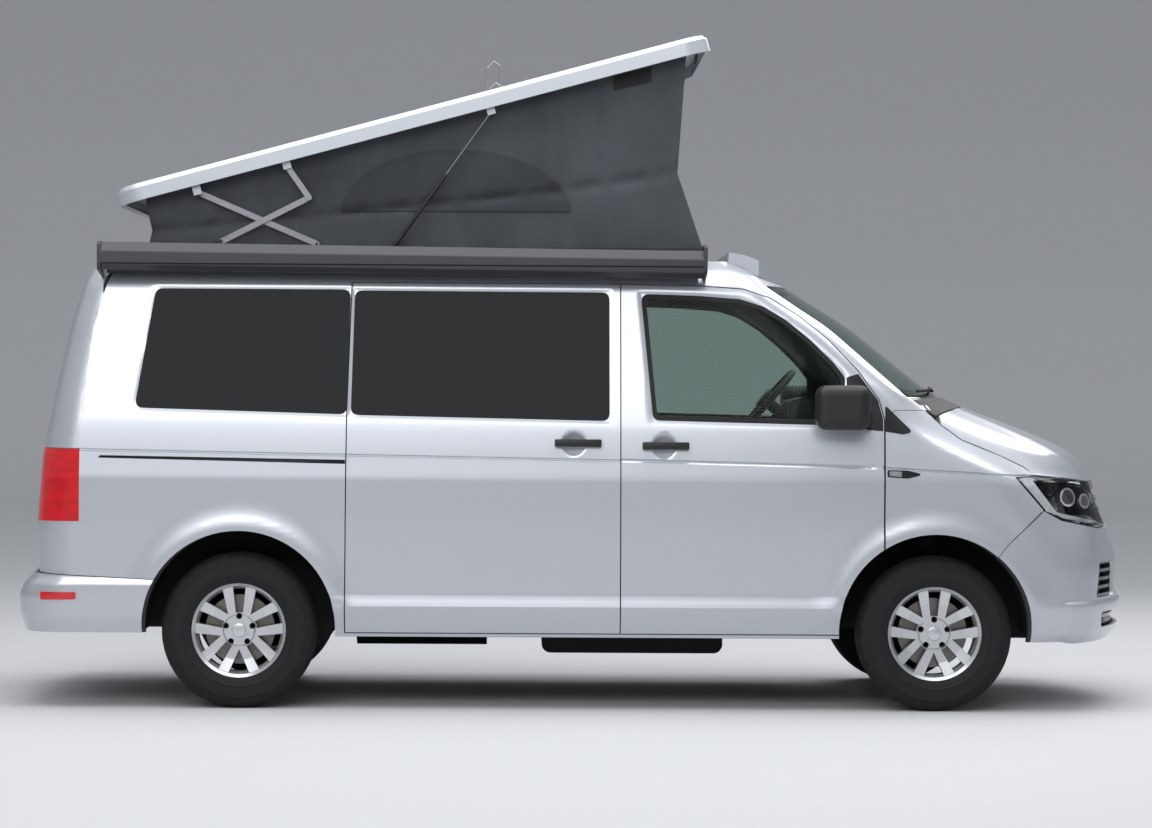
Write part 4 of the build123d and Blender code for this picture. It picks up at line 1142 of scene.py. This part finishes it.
made["rear_bumper"] = centre_panel(
    "rear_bumper_skin", "body", ticks(327, 579, 12, [(520, 579, 5)]), 170, False,
    [(REAR_BUMPER_ZONE, -FAR, FAR, "Y", 0.0)], arch_cuts(REAR_AXLE),
    table=REAR_BUMPER, x_limit=REAR_AXLE - 4, relief=rear_bumper_relief,
)


# Cores: the panels' inner structure, drawn in under the skins in the dark cab trim: real trim inside the cab, painted
# shade in the panel gaps where paint would be
def core(node, body, material, slot):
    """The inner structure of a panel, a little inside its skin."""
    mesh = nodes[node].data.copy()
    bm = bmesh.new()
    bm.from_mesh(mesh)
    bmesh.ops.remove_doubles(bm, verts=bm.verts[:], dist=1e-5)
    # The bonnet's hinges stay on their pivots
    moving = [
        v for v in bm.verts
        if not (1.5 < v.co.x < 1.7 and 0.596 < abs(v.co.y) < 0.624 and 1.2 < v.co.z < 1.31)
    ]
    bmesh.ops.scale(bm, vec=(1 - CORE_INSET / 2450, 1 - CORE_INSET / HALF_WIDTH, 1), verts=moving)
    bm.to_mesh(mesh)
    bm.free()
    mesh.materials.clear()
    mesh.materials.append(material)
    shade(mesh, 30)
    piece = bpy.data.objects.new(node + "_inner", mesh)
    scene.collection.objects.link(piece)
    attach(piece, body)
    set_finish(piece, slot)
    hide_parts(node)
    return piece


# Dark trim on the cores: real on their faces in the cab, painted shade in the gaps between the skins
for node, body in (
    ("body_shell", "body"), ("sliding_door", "body"), ("front_door_right", "door_right"),
    ("front_door_left", "door_left"), ("tailgate", "tailgate"), ("wing_right", "body"), ("wing_left", "body"),
    ("front_bumper", "body"), ("rear_bumper", "body"), ("bonnet", "bonnet"),
):
    core(node, body, TRIM_AND_GAP_SHADE, "paint")

# Small parts laid on the forms
REAR_BUMPER_SIDE = form_of(REAR_BUMPER, "side")


LAID_STEP = 22


def laid_on(name, body, form, points, material, slot, offset=2.0, thickness=6.0, view="side", radius=0.0):
    """A thin part in an outline from the side or end view, following a form at an offset."""
    shape = flattened(form, points, view, radius=radius)
    lengths = [p[0] for p in shape[0]]
    heights = [p[1] for p in shape[0]]
    columns = ticks(min(lengths) - 4, max(lengths) + 4, LAID_STEP)
    rows = ticks(min(heights) - 4, max(heights) + 4, LAID_STEP)
    mesh = thick_cut(flat_slab(name, columns, rows, thickness), name, [shape], [], 0)
    wrap(mesh, form, LEFT, None, offset)
    return settle(mesh, name, body, material, slot)


def on_both_sides(name, body, *args, **settings):
    """A laid-on part on the left and its mirror image on the right."""
    hand_body = body if isinstance(body, tuple) else (body, body)
    left = laid_on(name + "_left", hand_body[0], *args, **settings)
    return left, mirrored(left, name + "_right", hand_body[1])


SAIL_DOOR = [(1156, 1440), (1156, 1224), (1313, 1208), (1313, 1262), (1291, 1342), (1206, 1455)]
SAIL_BODY = [(1321, 1322), (1321, 1207), (1400, 1196), (1433, 1204), (1430, 1216)]
REPEATER = [(1330, 1042), (1330, 1012), (1420, 1006), (1488, 1024), (1420, 1040)]
REPEATER_LENS = [(1338, 1037), (1338, 1017), (1392, 1012), (1392, 1036)]
LAMP_BAND = [(1898, 1008), (1952, 1010), (2078, 846), (2022, 866)]
LAMP_LIP = [(2026, 872), (2092, 838), (2296, 796), (2325, 797), (2296, 811), (2098, 855)]
REFLECTOR = [(-2300, 466), (-2300, 498), (-2150, 500), (-2150, 470)]
DOORS = ("door_left", "door_right")
on_both_sides("sail_panel", DOORS, SIDE, SAIL_DOOR, GLOSS_BLACK, "black_trim", radius=6.0)
on_both_sides("pillar_panel", "body", SIDE, SAIL_BODY, GLOSS_BLACK, "black_trim", radius=8.0)
on_both_sides("repeater_frame", "body", SIDE, REPEATER, GLOSS_BLACK, "black_trim", offset=3.0, radius=8.0)
on_both_sides("repeater_lens", "body", SIDE, REPEATER_LENS, CHROME, "lamp_glass", offset=5.0, radius=4.0)
on_both_sides("lamp_band", "body", SIDE, LAMP_BAND, CHROME, "lamp_glass", 3.0, 4.0, radius=6.0)
on_both_sides("lamp_lip", "body", SIDE, LAMP_LIP, CHROME, "lamp_glass", 3.0, 4.0, radius=4.0)
for number, (x, z, radius) in enumerate(((2128, 925, 40), (2222, 905, 32))):
    rim = circle(x, z, radius, 36)
    on_both_sides("projector%d_ring" % number, "body", SIDE, rim, CHROME, "lamp_glass", 2.0, 3.0)
    lens = circle(x, z, radius - 9, 36)
    on_both_sides("projector%d_lens" % number, "body", SIDE, lens, GLOSS_BLACK, "lamp_glass", 3.0, 3.0)
# The reflectors take the red lens material, its painted glow included
on_both_sides("rear_reflector", "body", REAR_BUMPER_SIDE, REFLECTOR, RED, "lamp_red", offset=12.0, radius=8.0)
# A black strip deep in the rail slot, painted shade of the slot
laid_on("rail_slot_painted_shade", "body", SIDE, grown(rail_slot, 6), SEAL, "black_trim", offset=-12.0, thickness=4.0)
PLATE = [(-260, 712), (260, 712), (260, 838), (-260, 838)]
laid_on("rear_plate", "tailgate", TAIL, PLATE, LAMINATE, "soft_trim", -7.0, 3.0, "end", 8.0)


def door_handle(name, body, x, z, side):
    """A bar handle that stands before its dish, on two feet."""
    bm = bmesh.new()
    cube(bm, (x - 100, 949, z - 15), (x + 101, 966, z + 17))
    for foot in (x - 92, x + 70):
        cube(bm, (foot, 928, z - 11), (foot + 22, 952, z + 12))
    bmesh.ops.scale(bm, vec=(1, side, 1), verts=bm.verts[:])
    bmesh.ops.recalc_face_normals(bm, faces=bm.faces[:])
    return piece_from(bm, name, body, BLACK, "black_trim", bevel=5.0)


door_handle("sliding_door_handle", "body", -1, 1150, RIGHT)
door_handle("front_door_handle_right", "door_right", 376, 1140, RIGHT)
door_handle("front_door_handle_left", "door_left", 376, 1140, LEFT)

# Tyres: ribs round the tread, lugs at the shoulders and rings on the walls
TREAD = [
    (203, 92), (209, 99), (226, 104), (236, 106), (238, 108), (243, 108), (245, 106.5), (262, 108),
    (280, 106), (282, 107.5), (287, 107), (289, 105), (304, 99), (316, 92), (325, 84), (330, 74), (333, 62), (326, 61),
    (326, 53), (334, 52), (335, 20), (327, 19), (327, 11), (335, 10),
]
TYRE_STEPS = 120


def tyre(row, hand, axle, side):
    bm = bmesh.new()
    profile = TREAD + [(r, -y) for r, y in reversed(TREAD)]
    turned(bm, profile, TYRE_STEPS)
    for vert in bm.verts:
        index = round(math.atan2(vert.co.z, vert.co.x) / (2 * math.pi) * TYRE_STEPS)
        if abs(vert.co.y) > 62 and math.hypot(vert.co.x, vert.co.z) > 310 and index % 4 == 0:
            shrink = 1 - 5 / math.hypot(vert.co.x, vert.co.z)
            vert.co.x *= shrink
            vert.co.z *= shrink
    bmesh.ops.translate(bm, verts=bm.verts[:], vec=(axle, side * WHEEL_Y, WHEEL_Z))
    name = "%s_%s" % (row, hand)
    piece = piece_from(bm, "tyre_tread_" + name, "wheel_" + name, TYRE, "tyre")
    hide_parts("tyre_" + name)
    disc = bmesh.new()
    turned(disc, [(62, -13), (150, -13), (150, 13), (62, 13)], 64)
    bmesh.ops.translate(disc, verts=disc.verts[:], vec=(axle, side * (WHEEL_Y - 20), WHEEL_Z))
    piece_from(disc, "brake_disc_" + name, "wheel_" + name, DISC, "steel")
    cap = bmesh.new()
    rod(cap, (axle, side * 872, WHEEL_Z), (axle, side * 889, WHEEL_Z), 31, 40, 28)
    piece_from(cap, "hub_cap_" + name, "wheel_" + name, ALLOY, "alloy", bevel=2.0)


for row, axle in (("front", FRONT_AXLE), ("rear", REAR_AXLE)):
    for hand, side in (("right", RIGHT), ("left", LEFT)):
        tyre(row, hand, axle, side)

# The bellows: cloth walls with soft upright folds and a cord along their pleat
CLOTH_HALF = 625
CLOTH_REAR = [(2000, -1880), (2062, -1862), (2247, -1900)]
CLOTH_FRONT = [(2000, 545), (2330, 432), (2891, 470)]
CORD = [(-1845, 2063), (-1055, 2142), (-67, 2250), (429, 2332)]
FOLD_DEPTH = 6
CORD_DEPTH = 14


def cloth_edge(points, z):
    return float(np.interp(z, [p[0] for p in points], [p[1] for p in points]))


def roof_line(x):
    """Height of the cloth's upper edge."""
    return 2247 + (x + 1900) / 2370 * 644


def cloth_bulge(x, z):
    """How far a side wall stands out at a point."""
    share = np.clip((z - 2000) / max(60.0, roof_line(x) - 2000), 0, 1)
    fade = math.sin(math.pi * min(1.0, max(0.0, share))) ** 0.6
    folds = math.sin(x / 34 + 1.4 * math.sin(x / 120)) + 0.6 * math.sin(x / 15 + z / 260)
    cord = float(np.interp(x, [p[0] for p in CORD], [p[1] for p in CORD]))
    dent = math.exp(-(((z - cord) / 24) ** 2))
    return (FOLD_DEPTH * folds * fade * (1 - dent)) - CORD_DEPTH * dent


def cloth_point(s, y, t, wall):
    """A point of the bellows: share along it, width, share of its height and which wall."""
    low = cloth_edge(CLOTH_REAR, 2000 + 247 * t)
    high = cloth_edge(CLOTH_FRONT, 2000 + 891 * t)
    x = low + (high - low) * s
    z = 2000 + t * (247 + 644 * s)
    ripple = 5 * math.sin(y / 40 + z / 300) * math.sin(math.pi * t)
    if wall == "side":
        return (x, math.copysign(CLOTH_HALF + cloth_bulge(x, z), y), z)
    return (x + ripple, y, z)


def bellows():
    rounds = [(s, -CLOTH_HALF, "side") for s in np.linspace(0, 1, 220)]
    rounds += [(1.0, y, "front") for y in np.linspace(-CLOTH_HALF, CLOTH_HALF, 60)[1:-1]]
    rounds += [(s, CLOTH_HALF, "side") for s in np.linspace(1, 0, 220)]
    rounds += [(0.0, y, "rear") for y in np.linspace(CLOTH_HALF, -CLOTH_HALF, 60)[1:]]
    levels = np.linspace(0, 1, 46)
    bm = bmesh.new()
    bmesh.ops.create_grid(bm, x_segments=len(rounds) - 1, y_segments=len(levels) - 1, size=1.0)
    for vert in bm.verts:
        s, y, wall = rounds[round((vert.co.x + 1) / 2 * (len(rounds) - 1))]
        t = levels[round((vert.co.y + 1) / 2 * (len(levels) - 1))]
        vert.co = cloth_point(s, y, t, wall)
    bmesh.ops.remove_doubles(bm, verts=bm.verts[:], dist=0.12)
    bmesh.ops.recalc_face_normals(bm, faces=bm.faces[:])
    bmesh.ops.solidify(bm, geom=bm.faces[:], thickness=3.0)
    bmesh.ops.recalc_face_normals(bm, faces=bm.faces[:])
    piece = piece_from(bm, "bellows_cloth", "body", BELLOWS, "bellows_cloth", angle=60)
    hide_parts("roof_bellows")
    return piece


def cloth_patch(name, place, columns, levels, material):
    """A patch sewn on both side walls, following their folds."""
    pieces = []
    for side in (RIGHT, LEFT):
        bm = bmesh.new()
        bmesh.ops.create_grid(bm, x_segments=columns, y_segments=levels, size=0.5)
        for vert in bm.verts:
            x, z = place(vert.co.x + 0.5, vert.co.y + 0.5)
            vert.co = (x, side * (CLOTH_HALF + cloth_bulge(x, z) + 3.5), z)
        bmesh.ops.recalc_face_normals(bm, faces=bm.faces[:])
        bmesh.ops.solidify(bm, geom=bm.faces[:], thickness=2.0)
        bmesh.ops.recalc_face_normals(bm, faces=bm.faces[:])
        hand = "right" if side == RIGHT else "left"
        pieces.append(piece_from(bm, "%s_%s" % (name, hand), "body", material, "bellows_cloth", angle=60))
    return pieces


def window_place(a, b):
    """A half ellipse on a sloping foot."""
    turn = math.pi * (1 - b)
    x = -538 + 500 * math.cos(turn) * a
    return x, 2146 + 0.006 * (x + 538) + 268 * math.sin(turn) * a + 12


def patch_place(a, b):
    return 150 + 165 * a, 2690 + 62 * b + 40 * a


SOFT = [bellows()]
SOFT += cloth_patch("window_net", window_place, 26, 60, MESH_NET)
SOFT += cloth_patch("cloth_badge_blank", patch_place, 24, 6, SEAL)
for cloth in SOFT:
    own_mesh(cloth)


# Roof fittings, awning ends, wipers
def bars(name, body, chains, radius, material, slot):
    """Round bars through chains of points."""
    bm = bmesh.new()
    for chain in chains:
        for start, end in zip(chain, chain[1:]):
            rod(bm, start, end, radius, 14)
        for joint in chain[1:-1]:
            spot = Matrix.Translation(joint)
            bmesh.ops.create_uvsphere(bm, u_segments=14, v_segments=8, radius=radius, matrix=spot)
    return piece_from(bm, name, body, material, slot)


def awning_details():
    bm = bmesh.new()
    case_end = [
        (-951, 1893), (-951, 1994), (-935, 2006), (-790, 2006), (-762, 1985), (-762, 1868), (-800, 1858),
        (-930, 1880),
    ]
    for low, high in ((-2068, -2052), (535, 551)):
        prism(bm, [(y - 3, z) for y, z in case_end], low, high, "X", 12.0)
    piece_from(bm, "awning_end_caps", "body", AWNING, "awning_grey", bevel=2.5)
    bm = bmesh.new()
    cube(bm, (-2052, -958.5, 1908), (536, -952, 1913))
    piece_from(bm, "awning_lip_joint", "body", GLOSS_BLACK, "black_trim")


def wiper_chain(y_from, y_to, rise):
    """Points just outside the screen's foot."""
    chain = []
    for k in range(7):
        y = y_from + (y_to - y_from) * k / 6
        z = 1374 + rise * k / 6
        along = length_at(NOSE, y, z, "end")
        x, level, height = surface(NOSE, np.array([along]), np.array([z]))[0]
        chain.append((x + 14, level, height + 8))
    return chain


awning_details()
bars("wiper_blades", "body", [wiper_chain(-650, -60, 14), wiper_chain(20, 600, 14)], 6, SEAL, "black_trim")
for side, hand in ((RIGHT, "right"), (LEFT, "left")):
    y = side * 560
    loop = [(-408, y, 2700), (-404, y, 2790), (-376, y, 2818), (-350, y, 2800), (-346, y, 2720)]
    bars("roof_loop_" + hand, "raised_roof", [loop], 5, ARM, "arm_alloy")
    y = side * 640
    bars("latch_bar_" + hand, "raised_roof", [[(512, y, 2850), (505, y, 2806)]], 6, BLACK, "black_trim")


# Materials of the nodes whose shape stays
NODE_FINISHES = {
    "floor_pan": UNDERBODY, "grille": GLOSS_BLACK, "headlamps": COVER, "tail_lamps": RED, "door_seals": SEAL,
    "roof_fairing": ROOF_PAINT, "roof_frame": BLACK, "awning_case": AWNING, "dashboard": TRIM_AND_GAP_SHADE,
    "front_seats": SEAT_CLOTH, "rear_bench": SEAT_CLOTH, "kitchen_unit": LAMINATE, "engine_gearbox": UNDERBODY,
    "front_suspension": UNDERBODY, "rear_suspension": UNDERBODY, "fuel_tank": UNDERBODY, "exhaust": UNDERBODY,
    "roof_bellows": BELLOWS, "pop_roof": ROOF_PAINT, "roof_arms": ARM, "knee_arms_lower": ARM,
    "knee_arms_upper": ARM, "gas_strut_tubes": BLACK, "gas_strut_rods": DISC, "mirror_right": BLACK,
    "mirror_left": BLACK, "knuckle_right": UNDERBODY, "knuckle_left": UNDERBODY, "steering_wheel": BLACK,
}
for row in ("front", "rear"):
    for hand in ("right", "left"):
        NODE_FINISHES["rim_%s_%s" % (row, hand)] = ALLOY
        NODE_FINISHES["tyre_%s_%s" % (row, hand)] = TYRE
for node, material in NODE_FINISHES.items():
    mesh = nodes[node].data
    mesh.materials.clear()
    mesh.materials.append(material)

# Floor, backdrop, lights and camera
FLOOR_SIZE = 60
WALL_DISTANCE = 26
WALL_CURVE = 5


def stage_and_lights():
    """A pale cove, a broad overhead light and two soft side lights."""
    bm = bmesh.new()
    bmesh.ops.create_grid(bm, x_segments=2, y_segments=60, size=FLOOR_SIZE)
    for vert in bm.verts:
        run = vert.co.y - WALL_DISTANCE
        if run > 0:
            bend = min(run, WALL_CURVE * math.pi / 2) / WALL_CURVE
            vert.co.y = WALL_DISTANCE + WALL_CURVE * math.sin(bend)
            vert.co.z = WALL_CURVE * (1 - math.cos(bend)) + max(0, run - WALL_CURVE * math.pi / 2)
    mesh = bpy.data.meshes.new("studio_floor")
    bm.to_mesh(mesh)
    bm.free()
    floor = bpy.data.objects.new("studio_floor", mesh)
    scene.collection.objects.link(floor)
    material, tree, shader = finish_of("pale_studio_paint", Roughness=0.75)
    grain(tree, shader, 40, 0.0, ("#c6c7c9", "#c8c9cb"))
    mesh.materials.append(material)
    shade(mesh, 60)
    lamps = [
        ("overhead", (0.3, -1.0, 6.5), (0, 0, 0.8), 9.0, 5.0, 420),
        ("camera_side", (-2.5, -10.0, 5.5), (0, 0, 1.2), 9.0, 3.5, 380),
        ("back_side", (2.5, 6.0, 5.5), (0, 0, 1.0), 6.0, 2.5, 150),
    ]
    for name, place, target, width, height, power in lamps:
        lamp = bpy.data.lights.new(name, "AREA")
        lamp.shape = "RECTANGLE"
        lamp.size = width
        lamp.size_y = height
        lamp.energy = power
        thing = bpy.data.objects.new(name, lamp)
        thing.location = place
        thing.rotation_euler = (Vector(target) - Vector(place)).to_track_quat("-Z", "Y").to_euler()
        scene.collection.objects.link(thing)
    world = bpy.data.worlds.new("soft_room")
    world.use_nodes = True
    tree = world.node_tree
    background = tree.nodes["Background"]
    coords = add_node(tree, "ShaderNodeTexCoord")
    split = add_node(tree, "ShaderNodeSeparateXYZ", {"Vector": coords.outputs["Generated"]})
    ramp = add_node(tree, "ShaderNodeValToRGB", {"Fac": split.outputs["Z"]})
    ramp.color_ramp.elements[0].position = 0.0
    ramp.color_ramp.elements[0].color = linear("#8b8d90")
    ramp.color_ramp.elements[1].position = 0.6
    ramp.color_ramp.elements[1].color = linear("#eef1f6")
    tree.links.new(ramp.outputs["Color"], background.inputs["Color"])
    background.inputs["Strength"].default_value = 0.75
    scene.world = world


CAMERA_PLACE = (-0.234, -16.5, 1.40)
CAMERA_LENS = 113.2
CAMERA_YAW = -0.8225
CAMERA_PITCH = -0.4587
CAMERA_ROLL = 0.354


def make_camera():
    """The photograph's side view from about fifteen metres."""
    lens = bpy.data.cameras.new("camera")
    lens.sensor_width = 36
    lens.lens = CAMERA_LENS
    camera = bpy.data.objects.new("camera", lens)
    turn = (
        Matrix.Rotation(math.radians(CAMERA_YAW), 4, "Z")
        @ Matrix.Rotation(math.radians(90 + CAMERA_PITCH), 4, "X")
        @ Matrix.Rotation(math.radians(CAMERA_ROLL), 4, "Z")
    )
    camera.matrix_world = Matrix.Translation(CAMERA_PLACE) @ turn
    scene.collection.objects.link(camera)
    scene.camera = camera


stage_and_lights()
make_camera()
scene.view_settings.view_transform = "Standard"
